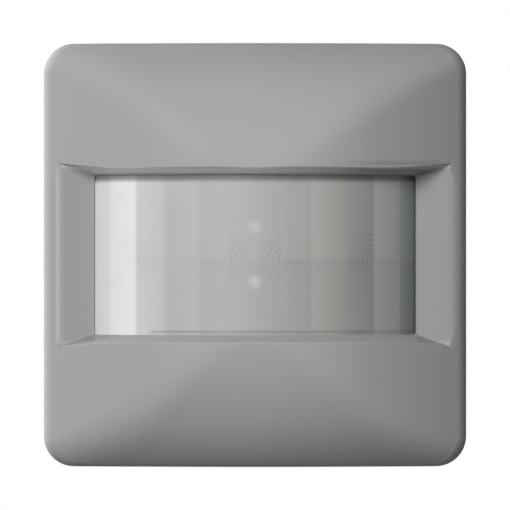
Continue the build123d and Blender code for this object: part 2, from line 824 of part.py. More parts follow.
with BuildPart() as insert_front_plate:
    with BuildSketch(facing(plate_rear)):
        RectangleRounded(flange_width, flange_height, flange_corner_radius)
        with Locations((0, plug_z)):
            Rectangle(plug_width + 2 * loose_fit, plug_thickness + 2 * loose_fit, mode=Mode.SUBTRACT)
        with GridLocations(2 * leaf_slot_x, 0, 2, 1):
            Rectangle(leaf_slot_width, 2 * leaf_slot_half_height, mode=Mode.SUBTRACT)
    extrude(amount=plate_thickness)
    with Locations(facing(plate_front)):
        with GridLocations(2 * assembly_screw_x, 2 * assembly_screw_z, 2, 2):
            CounterSinkHole(
                assembly_screw_radius + close_fit, assembly_screw_head_radius + close_fit, depth=plate_thickness
            )
finish(insert_front_plate, "insert_front_plate")

with BuildPart() as assembly_screws:
    with Locations(facing(plate_front - close_fit)):
        with GridLocations(2 * assembly_screw_x, 2 * assembly_screw_z, 2, 2):
            head_depth = assembly_screw_head_radius - assembly_screw_radius
            with Locations((0, 0, -head_depth)):
                Cone(
                    assembly_screw_radius,
                    assembly_screw_head_radius,
                    head_depth,
                    align=(Align.CENTER, Align.CENTER, Align.MIN),
                )
                Cylinder(
                    assembly_screw_radius,
                    plate_front - 2 * close_fit - head_depth,
                    align=(Align.CENTER, Align.CENTER, Align.MAX),
                )
finish(assembly_screws, "assembly_screws")

# Socket that takes the head's plug

socket_wall = 0.7
socket_floor = 1.2
socket_rim_gap = 0.2
contact_thickness = 0.3
contact_width = 1.8
contact_gap = plug_pin_size + 2 * pin_fit
contact_height = 5.0
contact_tail_size = 0.6
contact_tail_length = 1.0
socket_front = plate_rear - socket_rim_gap
contact_bottom = power_board_front + socket_floor

with BuildPart() as socket_block:
    with BuildSketch(facing(power_board_front)):
        with Locations((0, plug_z)):
            Rectangle(
                plug_width + 2 * (loose_fit + socket_wall), plug_thickness + 2 * (loose_fit + socket_wall)
            )
    extrude(amount=socket_front - power_board_front)
    with BuildSketch(facing(contact_bottom)):
        with Locations((0, plug_z)):
            Rectangle(plug_width + 2 * loose_fit, plug_thickness + 2 * loose_fit)
    extrude(amount=socket_front - contact_bottom, mode=Mode.SUBTRACT)
    with BuildSketch(facing(power_board_front)):
        with Locations((0, plug_z)):
            with GridLocations(plug_pin_pitch, 0, plug_pin_count, 1):
                Rectangle(contact_tail_size + 2 * pin_fit, contact_tail_size + 2 * pin_fit)
    extrude(amount=socket_floor, mode=Mode.SUBTRACT)
finish(socket_block, "socket_block")

with BuildPart() as socket_contacts:
    fork_thickness = contact_gap + 2 * contact_thickness
    with BuildSketch(facing(contact_bottom)):
        with Locations((0, plug_z)):
            with GridLocations(plug_pin_pitch, 0, plug_pin_count, 1):
                Rectangle(contact_width, fork_thickness)
    extrude(amount=contact_height)
    with BuildSketch(facing(contact_bottom + contact_thickness)):
        with Locations((0, plug_z)):
            with GridLocations(plug_pin_pitch, 0, plug_pin_count, 1):
                Rectangle(contact_width, contact_gap)
    extrude(amount=contact_height, mode=Mode.SUBTRACT)
    with BuildSketch(facing(contact_bottom)):
        with Locations((0, plug_z)):
            with GridLocations(plug_pin_pitch, 0, plug_pin_count, 1):
                Rectangle(contact_tail_size, contact_tail_size)
    extrude(amount=power_board_rear - contact_tail_length - contact_bottom)
finish(socket_contacts, "socket_contacts")

# Terminals: a block with wire entries and release buttons

terminal_low_z = -18.9
terminal_high_z = -7.9
terminal_height = terminal_high_z - terminal_low_z
terminal_centre_z = (terminal_high_z + terminal_low_z) / 2
terminal_front = -13.6
chamber_rear = -19.5
chamber_front = -14.4
chamber_low_z = entry_z - entry_height / 2
chamber_high_z = -8.7
chamber_height = chamber_high_z - chamber_low_z
chamber_centre_z = (chamber_high_z + chamber_low_z) / 2

bar_thickness = 0.6
bar_side_gap = 0.4
bar_width = entry_width - 2 * bar_side_gap
bar_pin_size = 0.9
bar_z = chamber_low_z + bar_thickness / 2
spring_thickness = 0.4
spring_gap = 0.2
spring_fold = 1.1
spring_lean = 0.6
spring_reach = 0.9
lever_travel = 1.5
lever_flange_side_gap = 0.5
lever_flange_width = entry_width - 2 * lever_flange_side_gap
lever_flange_height = 3.2
lever_flange_thickness = 1.0

with BuildPart() as terminal_block:
    with BuildSketch(facing(tub_floor_front)):
        with Locations((0, terminal_centre_z)):
            Rectangle(terminal_width, terminal_height)
    extrude(amount=terminal_front - tub_floor_front)
    with BuildSketch(facing(tub_floor_front)):
        with Locations((0, entry_z)):
            with GridLocations(pole_pitch, 0, pole_count, 1):
                Rectangle(entry_width, entry_height)
        with Locations((0, lever_z)):
            with GridLocations(pole_pitch, 0, pole_count, 1):
                Rectangle(lever_window_width, lever_window_height)
    extrude(amount=chamber_rear - tub_floor_front, mode=Mode.SUBTRACT)
    with BuildSketch(facing(chamber_rear)):
        with Locations((0, chamber_centre_z)):
            with GridLocations(pole_pitch, 0, pole_count, 1):
                Rectangle(entry_width, chamber_height)
    extrude(amount=chamber_front - chamber_rear, mode=Mode.SUBTRACT)
    with BuildSketch(facing(chamber_front)):
        with Locations((0, bar_z)):
            with GridLocations(pole_pitch, 0, pole_count, 1):
                Rectangle(bar_pin_size + 2 * pin_fit, bar_thickness + 2 * pin_fit)
    extrude(amount=terminal_front - chamber_front, mode=Mode.SUBTRACT)
finish(terminal_block, "terminal_block")

with BuildPart() as clamp_bars:
    with BuildSketch(facing(chamber_rear + spring_gap)):
        with Locations((0, bar_z)):
            with GridLocations(pole_pitch, 0, pole_count, 1):
                Rectangle(bar_width, bar_thickness)
    extrude(amount=chamber_front - chamber_rear - spring_gap)
    with BuildSketch(facing(chamber_front)):
        with Locations((0, bar_z)):
            with GridLocations(pole_pitch, 0, pole_count, 1):
                Rectangle(bar_pin_size, bar_thickness)
    extrude(amount=power_board_rear - chamber_front)
finish(clamp_bars, "clamp_bars")

with BuildPart() as clamp_springs:
    for pole in range(pole_count):
        pole_x = (pole - (pole_count - 1) / 2) * pole_pitch
        with BuildSketch(Plane.YZ.offset(pole_x - bar_width / 2)):
            with BuildLine():
                roof = -(chamber_front - spring_gap - spring_thickness / 2)
                bend_z = chamber_high_z - spring_gap - spring_thickness
                knee_z = lever_z - lever_flange_height / 2 - spring_gap
                Polyline(
                    (roof, chamber_centre_z),
                    (roof, bend_z),
                    (roof + spring_fold, bend_z),
                    (roof + spring_fold + spring_lean, knee_z),
                    (roof + spring_fold + spring_lean + spring_reach, bar_z + 2 * bar_thickness),
                )
            trace(line_width=spring_thickness)
        extrude(amount=bar_width)
finish(clamp_springs, "clamp_springs")

# Release buttons of the terminals: a shaft through the tub's floor with a flange that keeps it in

lever_rear = -tub_depth - lever_travel
lever_flange_rear = chamber_rear + close_fit

for pole, lever_name in enumerate(
    ("release_lever_live", "release_lever_neutral", "release_lever_load", "release_lever_extension")
):
    with BuildPart() as lever:
        with Locations(facing(lever_rear)):
            with Locations(((pole - (pole_count - 1) / 2) * pole_pitch, lever_z)):
                Box(
                    lever_width,
                    lever_height,
                    lever_flange_rear - lever_rear,
                    align=(Align.CENTER, Align.CENTER, Align.MIN),
                )
        with BuildSketch(facing(lever_flange_rear)):
            with Locations(((pole - (pole_count - 1) / 2) * pole_pitch, lever_z)):
                Rectangle(lever_flange_width, lever_flange_height)
        extrude(amount=lever_flange_thickness)
    finish(lever, lever_name)

# Power board and the parts of the power supply on its rear

supply_row_z = -2.6
film_width = 13.0
film_thickness = 5.5
film_height = 11.0
film_x = -9.8
part_round = 0.5
drum_radius = 4.0
drum_height = 11.5
drum_x = 3.2
varistor_radius = 4.2
varistor_thickness = 3.6
varistor_stand = 1.0
varistor_x = 12.2
varistor_lead_size = 0.6
varistor_lead_spread = 2.5
fuse_width = 3.8
fuse_length = 8.4
fuse_height = 7.7
fuse_x = 13.5
fuse_z = 9.3
choke_radius = 2.3
choke_core_radius = 1.6
choke_cap_height = 0.8
choke_height = 7.5
choke_x = -13.4
choke_z = 9.5

relay_x = 2.0
relay_z = 9.5
relay_base_width = 20.4
relay_base_depth = 12.0
relay_base_height = 1.5
relay_base_centre = -2.0
yoke_thickness = 1.2
yoke_foot_thickness = 1.0
yoke_foot_start = -4.0
yoke_leg_outer = 7.2
yoke_height = 13.3
yoke_half_depth = 4.0
core_radius = 2.0
pole_radius = 3.2
pole_height = 0.8
bobbin_tube_radius = 2.6
bobbin_flange_radius = 5.4
bobbin_flange_thickness = 0.6
winding_radius = 4.8
armature_gap = 0.7
armature_thickness = 1.0
armature_front = -11.5
armature_half_depth = 4.0
armature_neck_half_depth = 2.2
armature_neck_end = -5.6
contact_x = -10.0
contact_radius = 1.2
moving_contact_height = 0.5
fixed_contact_height = 0.3
contact_opening = 1.2
post_thickness = 0.8
post_half_depth = 1.5
post_pad_thickness = 0.4
hinge_strip_thickness = 0.3
hinge_strip_gap = 0.15
hinge_strip_half_depth = 2.5
hinge_strip_length = 4.5
hinge_strip_foot = 6.0
case_wall = 0.5
case_height = 15.6
case_clearance = 0.1
case_start = 0.2

with BuildPart() as power_board:
    with BuildSketch(facing(power_board_rear)):
        Polygon(
            *cut_corners(
                tub_inner_width - 2 * power_board_gap, tub_inner_height - 2 * power_board_gap, tub_corner_cut
            ),
            align=None,
        )
        with Locations((0, plug_z)):
            with GridLocations(plug_pin_pitch, 0, plug_pin_count, 1):
                Rectangle(contact_tail_size + 2 * pin_fit, contact_tail_size + 2 * pin_fit, mode=Mode.SUBTRACT)
    extrude(amount=board_thickness)
finish(power_board, "power_board")

with BuildPart() as film_capacitor:
    with BuildSketch(facing(power_board_rear)):
        with Locations((film_x, supply_row_z)):
            RectangleRounded(film_width, film_thickness, part_round)
    extrude(amount=-film_height)
finish(film_capacitor, "film_capacitor")

with BuildPart() as electrolytic_capacitor:
    with BuildSketch(facing(power_board_rear)):
        with Locations((drum_x, supply_row_z)):
            Circle(drum_radius)
    extrude(amount=-drum_height)
    fillet(electrolytic_capacitor.edges().group_by(Axis.Y)[-1], radius=part_round)
finish(electrolytic_capacitor, "electrolytic_capacitor")

with BuildPart() as varistor:
    varistor_centre_y = varistor_stand + varistor_radius - power_board_rear
    with BuildSketch(Plane.XY.offset(supply_row_z)):
        with Locations((varistor_x, varistor_centre_y)):
            Circle(varistor_radius)
    extrude(amount=varistor_thickness / 2, both=True)
    fillet(varistor.edges(), radius=part_round)
    with BuildSketch(facing(power_board_rear)):
        with Locations((varistor_x, supply_row_z)):
            with GridLocations(2 * varistor_lead_spread, 0, 2, 1):
                Rectangle(varistor_lead_size, varistor_lead_size)
    extrude(amount=-(varistor_stand + varistor_radius))
finish(varistor, "varistor")

with BuildPart() as fuse:
    with BuildSketch(facing(power_board_rear)):
        with Locations((fuse_x, fuse_z)):
            RectangleRounded(fuse_width, fuse_length, part_round)
    extrude(amount=-fuse_height)
finish(fuse, "fuse")

with BuildPart() as choke_coil:
    for start, radius, height in (
        (0, choke_radius, choke_cap_height),
        (choke_cap_height, choke_core_radius, choke_height - 2 * choke_cap_height),
        (choke_height - choke_cap_height, choke_radius, choke_cap_height),
    ):
        with BuildSketch(facing(power_board_rear - start)):
            with Locations((choke_x, choke_z)):
                Circle(radius)
        extrude(amount=-height)
finish(choke_coil, "choke_coil")

# Relay: heights here are measured from the power board towards the back


def relay_point(across, height):
    """A point of the relay in plan: across from its coil's axis, at a height on the board."""
    return relay_x + across, height - power_board_rear


def relay_face(height):
    """A plane parallel to the board at a height on it, for pieces that stand along the coil's axis."""
    return facing(power_board_rear - height)


relay_middle = Plane.XY.offset(relay_z)
foot_top = relay_base_height + yoke_foot_thickness
armature_low = yoke_height + close_fit * 2
pole_top = armature_low - armature_gap
bobbin_top = pole_top - pole_height - close_fit

with BuildPart() as relay_base:
    with BuildSketch(relay_face(0)):
        with Locations((relay_x + relay_base_centre, relay_z)):
            Rectangle(relay_base_width, relay_base_depth)
    extrude(amount=-relay_base_height)
finish(relay_base, "relay_base")

with BuildPart() as relay_yoke:
    with BuildSketch(relay_middle):
        with BuildLine():
            Polyline(
                relay_point(yoke_foot_start, relay_base_height),
                relay_point(yoke_leg_outer, relay_base_height),
                relay_point(yoke_leg_outer, yoke_height),
                relay_point(yoke_leg_outer - yoke_thickness, yoke_height),
                relay_point(yoke_leg_outer - yoke_thickness, foot_top),
                relay_point(yoke_foot_start, foot_top),
                close=True,
            )
        make_face()
    extrude(amount=yoke_half_depth, both=True)
finish(relay_yoke, "relay_yoke")

with BuildPart() as relay_core:
    with BuildSketch(relay_face(foot_top)):
        with Locations((relay_x, relay_z)):
            Circle(core_radius)
    extrude(amount=foot_top - pole_top)
    with BuildSketch(relay_face(pole_top - pole_height)):
        with Locations((relay_x, relay_z)):
            Circle(pole_radius)
    extrude(amount=-pole_height)
finish(relay_core, "relay_core")

with BuildPart() as relay_bobbin:
    for start, radius, height in (
        (foot_top, bobbin_flange_radius, bobbin_flange_thickness),
        (foot_top, bobbin_tube_radius, bobbin_top - foot_top),
        (bobbin_top - bobbin_flange_thickness, bobbin_flange_radius, bobbin_flange_thickness),
    ):
        with BuildSketch(relay_face(start)):
            with Locations((relay_x, relay_z)):
                Circle(radius)
        extrude(amount=-height)
    with BuildSketch(relay_face(foot_top)):
        with Locations((relay_x, relay_z)):
            Circle(core_radius + pin_fit)
    extrude(amount=foot_top - bobbin_top, mode=Mode.SUBTRACT)
finish(relay_bobbin, "relay_bobbin")

with BuildPart() as relay_winding:
    with BuildSketch(relay_face(foot_top + bobbin_flange_thickness)):
        with Locations((relay_x, relay_z)):
            Circle(winding_radius)
            Circle(bobbin_tube_radius, mode=Mode.SUBTRACT)
    extrude(amount=foot_top - bobbin_top + 2 * bobbin_flange_thickness)
finish(relay_winding, "relay_winding")

with BuildPart() as relay_armature:
    with BuildSketch(relay_face(armature_low)):
        with BuildLine():
            Polyline(
                (relay_x + yoke_leg_outer - close_fit, relay_z - armature_half_depth),
                (relay_x + yoke_leg_outer - close_fit, relay_z + armature_half_depth),
                (relay_x + armature_neck_end, relay_z + armature_half_depth),
                (relay_x + armature_neck_end, relay_z + armature_neck_half_depth),
                (relay_x + armature_front, relay_z + armature_neck_half_depth),
                (relay_x + armature_front, relay_z - armature_neck_half_depth),
                (relay_x + armature_neck_end, relay_z - armature_neck_half_depth),
                (relay_x + armature_neck_end, relay_z - armature_half_depth),
                close=True,
            )
        make_face()
    extrude(amount=-armature_thickness)
    with BuildSketch(relay_face(armature_low)):
        with Locations((relay_x + contact_x, relay_z)):
            Circle(contact_radius)
    extrude(amount=moving_contact_height)
finish(relay_armature, "relay_armature")

fixed_contact_top = armature_low - moving_contact_height - contact_opening
pad_top = fixed_contact_top - fixed_contact_height
with BuildPart() as relay_fixed_contact:
    with BuildSketch(relay_face(relay_base_height)):
        with Locations((relay_x + contact_x, relay_z)):
            Rectangle(post_thickness, 2 * post_half_depth)
    extrude(amount=relay_base_height - pad_top)
    with BuildSketch(relay_face(pad_top - post_pad_thickness)):
        with Locations((relay_x + contact_x, relay_z)):
            Rectangle(2 * contact_radius, 2 * post_half_depth)
    extrude(amount=-post_pad_thickness)
    with BuildSketch(relay_face(pad_top)):
        with Locations((relay_x + contact_x, relay_z)):
            Circle(contact_radius)
    extrude(amount=-fixed_contact_height)
finish(relay_fixed_contact, "relay_fixed_contact")

strip_low = armature_low + armature_thickness + hinge_strip_gap
with BuildPart() as relay_hinge_spring:
    with BuildSketch(relay_middle):
        with BuildLine():
            Polyline(
                relay_point(yoke_leg_outer, hinge_strip_foot),
                relay_point(yoke_leg_outer + hinge_strip_thickness, hinge_strip_foot),
                relay_point(yoke_leg_outer + hinge_strip_thickness, strip_low + hinge_strip_thickness),
                relay_point(yoke_leg_outer - hinge_strip_length, strip_low + hinge_strip_thickness),
                relay_point(yoke_leg_outer - hinge_strip_length, strip_low),
                relay_point(yoke_leg_outer, strip_low),
                close=True,
            )
        make_face()
    extrude(amount=hinge_strip_half_depth, both=True)
finish(relay_hinge_spring, "relay_hinge_spring")

case_width = relay_base_width + 2 * (case_clearance + case_wall)
case_depth = relay_base_depth + 2 * (case_clearance + case_wall)
with BuildPart() as relay_cover:
    with BuildSketch(relay_face(case_start)):
        with Locations((relay_x + relay_base_centre, relay_z)):
            Rectangle(case_width, case_depth)
    extrude(amount=case_start - case_height)
    with BuildSketch(relay_face(case_start)):
        with Locations((relay_x + relay_base_centre, relay_z)):
            Rectangle(case_width - 2 * case_wall, case_depth - 2 * case_wall)
    extrude(amount=case_start - case_height + case_wall, mode=Mode.SUBTRACT)
finish(relay_cover, "relay_cover")

# Spreader claws, their pins and their screws

claw_eye_radius = 1.7
claw_length = 18.2
claw_fork_half_width = 2.2
claw_fork_length = 10.7
claw_hook_start = 14.9
claw_tooth_depth = 1.1
claw_tooth_reach = 2.4
claw_tooth_count = 3
claw_screw_end = -12.0
claw_screw_head_radius = 2.4
claw_screw_head_height = 1.2
claw_slot_width = 0.8
claw_slot_depth = 0.6

for side, claw_name in ((-1, "claw_left"), (1, "claw_right")):
    plate_outer = claw_pin_x + claw_thickness / 2
    plate_inner = claw_pin_x - claw_thickness / 2
    pin_y = -claw_pin_height
    tooth_pitch = (claw_length - claw_hook_start) / claw_tooth_count
    teeth = []
    for tooth in range(claw_tooth_count):
        tooth_y = pin_y + claw_hook_start + tooth * tooth_pitch
        teeth.append((side * (plate_outer + claw_tooth_reach - claw_tooth_depth), tooth_y))
        teeth.append((side * (plate_outer + claw_tooth_reach), tooth_y + tooth_pitch / 2))
    with BuildPart() as claw:
        with BuildSketch(Plane.XY):
            with Locations((side * claw_pin_x, pin_y)):
                Circle(claw_eye_radius)
            with BuildLine():
                Polyline(
                    (side * plate_inner, pin_y),
                    (side * plate_outer, pin_y),
                    (side * plate_outer, pin_y + claw_hook_start),
                    *teeth,
                    (side * (plate_outer + claw_tooth_reach - claw_tooth_depth), pin_y + claw_length),
                    (side * plate_inner, pin_y + claw_length),
                    close=True,
                )
            make_face()
            with Locations((side * claw_pin_x, pin_y)):
                Circle(claw_pin_radius + pin_fit, mode=Mode.SUBTRACT)
        extrude(amount=claw_arm_half_width, both=True)
        with BuildSketch(Plane.YZ.offset(side * claw_pin_x)):
            with Locations((pin_y, 0)):
                Rectangle(2 * claw_fork_length, 2 * claw_fork_half_width)
        extrude(amount=claw_eye_radius + overrun, both=True, mode=Mode.SUBTRACT)
    finish(claw, claw_name)

with BuildPart() as claw_pins:
    with BuildSketch(Plane.XY):
        with GridLocations(2 * claw_pin_x, 0, 2, 1):
            with Locations((0, -claw_pin_height)):
                Circle(claw_pin_radius)
    extrude(amount=lug_inner_z + lug_thickness, both=True)
finish(claw_pins, "claw_pins")

for side, screw_name in ((-1, "claw_screw_left"), (1, "claw_screw_right")):
    with BuildPart() as claw_screw:
        with BuildSketch(facing(claw_screw_end)):
            with Locations((side * claw_screw_offset, 0)):
                Circle(claw_screw_radius)
        extrude(amount=ring_thickness + close_fit - claw_screw_end)
        with BuildSketch(facing(ring_thickness + close_fit)):
            with Locations((side * claw_screw_offset, 0)):
                Circle(claw_screw_head_radius)
        extrude(amount=claw_screw_head_height)
        with BuildSketch(facing(ring_thickness + close_fit + claw_screw_head_height)):
            with Locations((side * claw_screw_offset, 0)):
                Rectangle(claw_slot_width, 2 * claw_screw_head_radius)
        extrude(amount=-claw_slot_depth, mode=Mode.SUBTRACT)
    finish(claw_screw, screw_name)
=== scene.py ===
"""Looks of a motion sensor light switch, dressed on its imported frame.

Sizes of shapes are in millimetres, and meshes are in metres. A height is the distance from the
wall towards the viewer, so a point at height h has y = -h. Materials and the studio have their
lengths in metres, where nothing else is said.
"""

from __future__ import annotations

import logging
import math
from collections.abc import Callable, Iterable, Mapping, Sequence
from dataclasses import dataclass
from enum import Enum
from functools import reduce
from typing import Protocol

import bmesh
import bpy
import numpy as np
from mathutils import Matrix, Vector


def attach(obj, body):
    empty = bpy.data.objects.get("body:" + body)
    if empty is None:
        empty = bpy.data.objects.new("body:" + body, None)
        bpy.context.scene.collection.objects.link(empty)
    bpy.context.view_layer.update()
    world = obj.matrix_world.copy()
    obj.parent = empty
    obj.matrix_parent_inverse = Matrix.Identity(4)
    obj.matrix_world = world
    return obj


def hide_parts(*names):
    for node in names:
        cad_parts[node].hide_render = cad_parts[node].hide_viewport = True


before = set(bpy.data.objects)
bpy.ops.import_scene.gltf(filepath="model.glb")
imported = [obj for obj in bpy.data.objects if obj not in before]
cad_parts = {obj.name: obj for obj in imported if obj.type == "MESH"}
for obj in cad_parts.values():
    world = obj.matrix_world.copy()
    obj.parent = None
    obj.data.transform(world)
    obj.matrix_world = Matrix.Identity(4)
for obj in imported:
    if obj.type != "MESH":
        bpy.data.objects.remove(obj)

MM = 0.001
WELD_DISTANCE = 1e-7
LEAST_EDGE = 1e-8
LENS_AXIS_HEIGHT = -2.599
WINDOW_HALF_ANGLE = 62.0
WINDOW_HALF_HEIGHT = 11.85
LENS_HALF_SHOWN = 11.8
LOG = logging.getLogger("light_switch")
Colour = tuple[float, float, float]
Place = tuple[float, float, float]
Paint = Colour | bpy.types.NodeSocket
Grid = np.ndarray
WHITE: Colour = (1.0, 1.0, 1.0)
BLACK: Colour = (0.0, 0.0, 0.0)


# Height formulas shared by the surfaces


def soft_min(first: Grid, second: Grid, blend: Grid | float) -> Grid:
    """The lower of two heights, rounded where they cross.

    Formula: min(a, b) - max(k - |a - b|, 0)^2 / (4 k), with k the blend.

    Args:
        first: One height field.
        second: The other height field.
        blend: The height difference under which the two run into each other.

    Returns:
        The blended height field.
    """
    near = np.maximum(blend - np.abs(first - second), 0.0)
    return np.minimum(first, second) - near**2 / (4.0 * blend)


def soft_max(first: Grid, second: Grid, blend: Grid | float) -> Grid:
    """The higher of two heights, rounded where they cross, as the mirror image of soft_min."""
    return -soft_min(-first, -second, blend)


# Meshes from grids


def linked(name: str, data: bpy.types.ID) -> bpy.types.Object:
    """A new object that shows the data, linked to the scene."""
    made = bpy.data.objects.new(name, data)
    bpy.context.scene.collection.objects.link(made)
    return made


def raised(x: Grid, height: Grid | float, z: Grid) -> Grid:
    """Points over plan positions, where a height h towards the viewer is y = -h."""
    return np.stack(np.broadcast_arrays(x, -np.asarray(height), z), axis=-1)


def grid_quads(
    rows: int, columns: int, closed_rows: bool = False, closed_columns: bool = False
) -> Grid:
    """Corner numbers of every quad between the points of a grid.

    Formula: point (i, j) has number i * columns + j, and closed directions wrap round.

    Args:
        rows: How many rows the grid has.
        columns: How many points each row has.
        closed_rows: The last row joins the first one.
        closed_columns: The last column joins the first one.

    Returns:
        Array of quads by 4.
    """
    index = np.arange(rows * columns).reshape(rows, columns)
    if closed_rows:
        index = np.vstack([index, index[:1]])
    if closed_columns:
        index = np.hstack([index, index[:, :1]])
    corners = [index[:-1, :-1], index[1:, :-1], index[1:, 1:], index[:-1, 1:]]
    return np.stack(corners, axis=-1).reshape(-1, 4)


@dataclass(frozen=True)
class Sheet:
    """A grid of points in millimetres and what its edges do.

    Attributes:
        points: Array of rows by columns by 3.
        closed_rows: The last row joins the first one.
        closed_columns: The last column joins the first one.
        uv: Array of rows by columns by 2, or None.
    """

    points: Grid
    closed_rows: bool = False
    closed_columns: bool = False
    uv: Grid | None = None

    def quads(self, start: int) -> Grid:
        """Corner numbers of every quad, turned so that the closed sheet's faces point outwards.

        Formula: the sign of the volume, a sum of corner triple products, says which way they look.

        Args:
            start: The number of the sheet's first point in its mesh.

        Returns:
            Array of quads by 4.
        """
        rows, columns = self.points.shape[:2]
        quads = grid_quads(rows, columns, self.closed_rows, self.closed_columns)
        flat = self.points.reshape(-1, 3)
        a, b, c, d = (flat[quads[:, k]] for k in range(4))
        volume = np.sum(a * np.cross(b, c)) + np.sum(a * np.cross(c, d))
        return start + (quads if volume > 0 else quads[:, ::-1])


def sheet_object(name: str, sheets: Sequence[Sheet], sharp_angle: float) -> bpy.types.Object:
    """One mesh object from closed sheets, smooth-shaded, with doubles at the poles merged.

    Args:
        name: The piece's name.
        sheets: The sheets that make it up.
        sharp_angle: Edges that turn by more degrees than this stay crisp.

    Returns:
        The linked object, at the origin.
    """
    starts = np.cumsum([0] + [s.points.shape[0] * s.points.shape[1] for s in sheets])
    points = np.concatenate([s.points.reshape(-1, 3) for s in sheets]) * MM
    quads = np.concatenate([s.quads(int(start)) for s, start in zip(sheets, starts)])
    mesh = bpy.data.meshes.new(name)
    mesh.from_pydata(points.tolist(), [], quads.tolist())
    if all(s.uv is not None for s in sheets):
        uv = np.concatenate([s.uv.reshape(-1, 2) for s in sheets])
        layer = mesh.uv_layers.new(name="surface")
        layer.data.foreach_set("uv", uv[quads.ravel()].astype(np.float32).ravel())
    welded = bmesh.new()
    welded.from_mesh(mesh)
    bmesh.ops.remove_doubles(welded, verts=welded.verts, dist=WELD_DISTANCE)
    bmesh.ops.dissolve_degenerate(welded, edges=welded.edges, dist=LEAST_EDGE)
    welded.to_mesh(mesh)
    welded.free()
    mesh.shade_smooth()
    mesh.set_sharp_from_angle(angle=math.radians(sharp_angle))
    return linked(name, mesh)


def turned(profile: Sequence[tuple[float, float]], centre: tuple[float, float], sides: int) -> Grid:
    """A profile of (radius, height) turned about an axis that points at the viewer.

    Formula: x = cx + r cos a, y = -h, z = cz + r sin a, for sides equal angles a.

    Args:
        profile: Radius and height of each ring.
        centre: Where the axis stands, as x and z.
        sides: How many points each ring has.

    Returns:
        Array of rings by sides by 3.
    """
    ring = np.asarray(profile, float)
    angle = np.linspace(0.0, 2.0 * math.pi, sides, endpoint=False)
    x = centre[0] + ring[:, :1] * np.cos(angle)
    z = centre[1] + ring[:, :1] * np.sin(angle)
    return raised(x, ring[:, 1:], z)


def rounded_outline(half_x: float, half_z: float, radius: float, counts: tuple[int, int, int]) -> Grid:
    """A rounded rectangle as points that start low on the right side and run anticlockwise.

    Formula: four quarter circles about the corners' centres, joined by straight runs.

    Args:
        half_x: Half the width.
        half_z: Half the height.
        radius: The corners' radius.
        counts: Points on an upright side, on a corner and on a level side.

    Returns:
        Array of points by 2, the same number for every call with the same counts.
    """
    upright, corner, level = counts
    cx, cz = half_x - radius, half_z - radius
    side = np.linspace(-1.0, 1.0, upright, endpoint=False)
    run = np.linspace(-1.0, 1.0, level, endpoint=False)
    turn = np.linspace(0.0, math.pi / 2, corner, endpoint=False)
    parts = [np.stack([np.full(upright, half_x), side * cz], -1)]
    parts.append(np.stack([cx + radius * np.cos(turn), cz + radius * np.sin(turn)], -1))
    parts.append(np.stack([-run * cx, np.full(level, half_z)], -1))
    parts.append(np.stack([-cx - radius * np.sin(turn), cz + radius * np.cos(turn)], -1))
    right_and_top = np.concatenate(parts)
    return np.concatenate([right_and_top, -right_and_top])


# Shader graphs


@dataclass(frozen=True)
class Wire:
    """A number that runs between nodes. Python arithmetic on it adds Math nodes to its graph."""

    graph: Graph
    socket: bpy.types.NodeSocket

    def _math(self, operation: str, *values: Wire | float) -> Wire:
        """The result of a Math node with that operation and those values."""
        node = self.graph.node("ShaderNodeMath", {"operation": operation}, dict(enumerate(values)))
        return Wire(self.graph, node.outputs[0])

    def __add__(self, other: Wire | float) -> Wire:
        """Sum."""
        return self._math("ADD", self, other)

    def __radd__(self, other: float) -> Wire:
        """Sum with a number on the left."""
        return self._math("ADD", other, self)

    def __sub__(self, other: Wire | float) -> Wire:
        """Difference."""
        return self._math("SUBTRACT", self, other)

    def __rsub__(self, other: float) -> Wire:
        """Difference with a number on the left."""
        return self._math("SUBTRACT", other, self)

    def __mul__(self, other: Wire | float) -> Wire:
        """Product."""
        return self._math("MULTIPLY", self, other)

    def __rmul__(self, other: float) -> Wire:
        """Product with a number on the left."""
        return self._math("MULTIPLY", other, self)

    def __abs__(self) -> Wire:
        """Size without its sign."""
        return self._math("ABSOLUTE", self)

    def sine(self) -> Wire:
        """Sine of the value in radians."""
        return self._math("SINE", self)

    def root(self) -> Wire:
        """Square root."""
        return self._math("SQRT", self)

    def higher(self, other: Wire | float) -> Wire:
        """The larger of two values."""
        return self._math("MAXIMUM", self, other)

    def lower(self, other: Wire | float) -> Wire:
        """The smaller of two values."""
        return self._math("MINIMUM", self, other)

    def above(self, limit: Wire | float) -> Wire:
        """1 where the value is greater than the limit, otherwise 0."""
        return self._math("GREATER_THAN", self, limit)

    def clipped(self) -> Wire:
        """The value held between 0 and 1."""
        return self.higher(0.0).lower(1.0)

    def fade(self, zero: float, one: float) -> Wire:
        """0 where the value is at zero or beyond, 1 at one or beyond, and a straight line between.

        Args:
            zero: The value at which the result is 0. It may be the larger of the two.
            one: The value at which the result is 1.

        Returns:
            The share.
        """
        return ((self - zero) * (1.0 / (one - zero))).clipped()

    def spread(self, amount: float) -> Wire:
        """How far a share is from one half, times an amount."""
        return (self - 0.5) * amount

    def blended(self, other: Wire, share: float) -> Wire:
        """The mean of two values, with the other one's share."""
        return self * (1.0 - share) + other * share


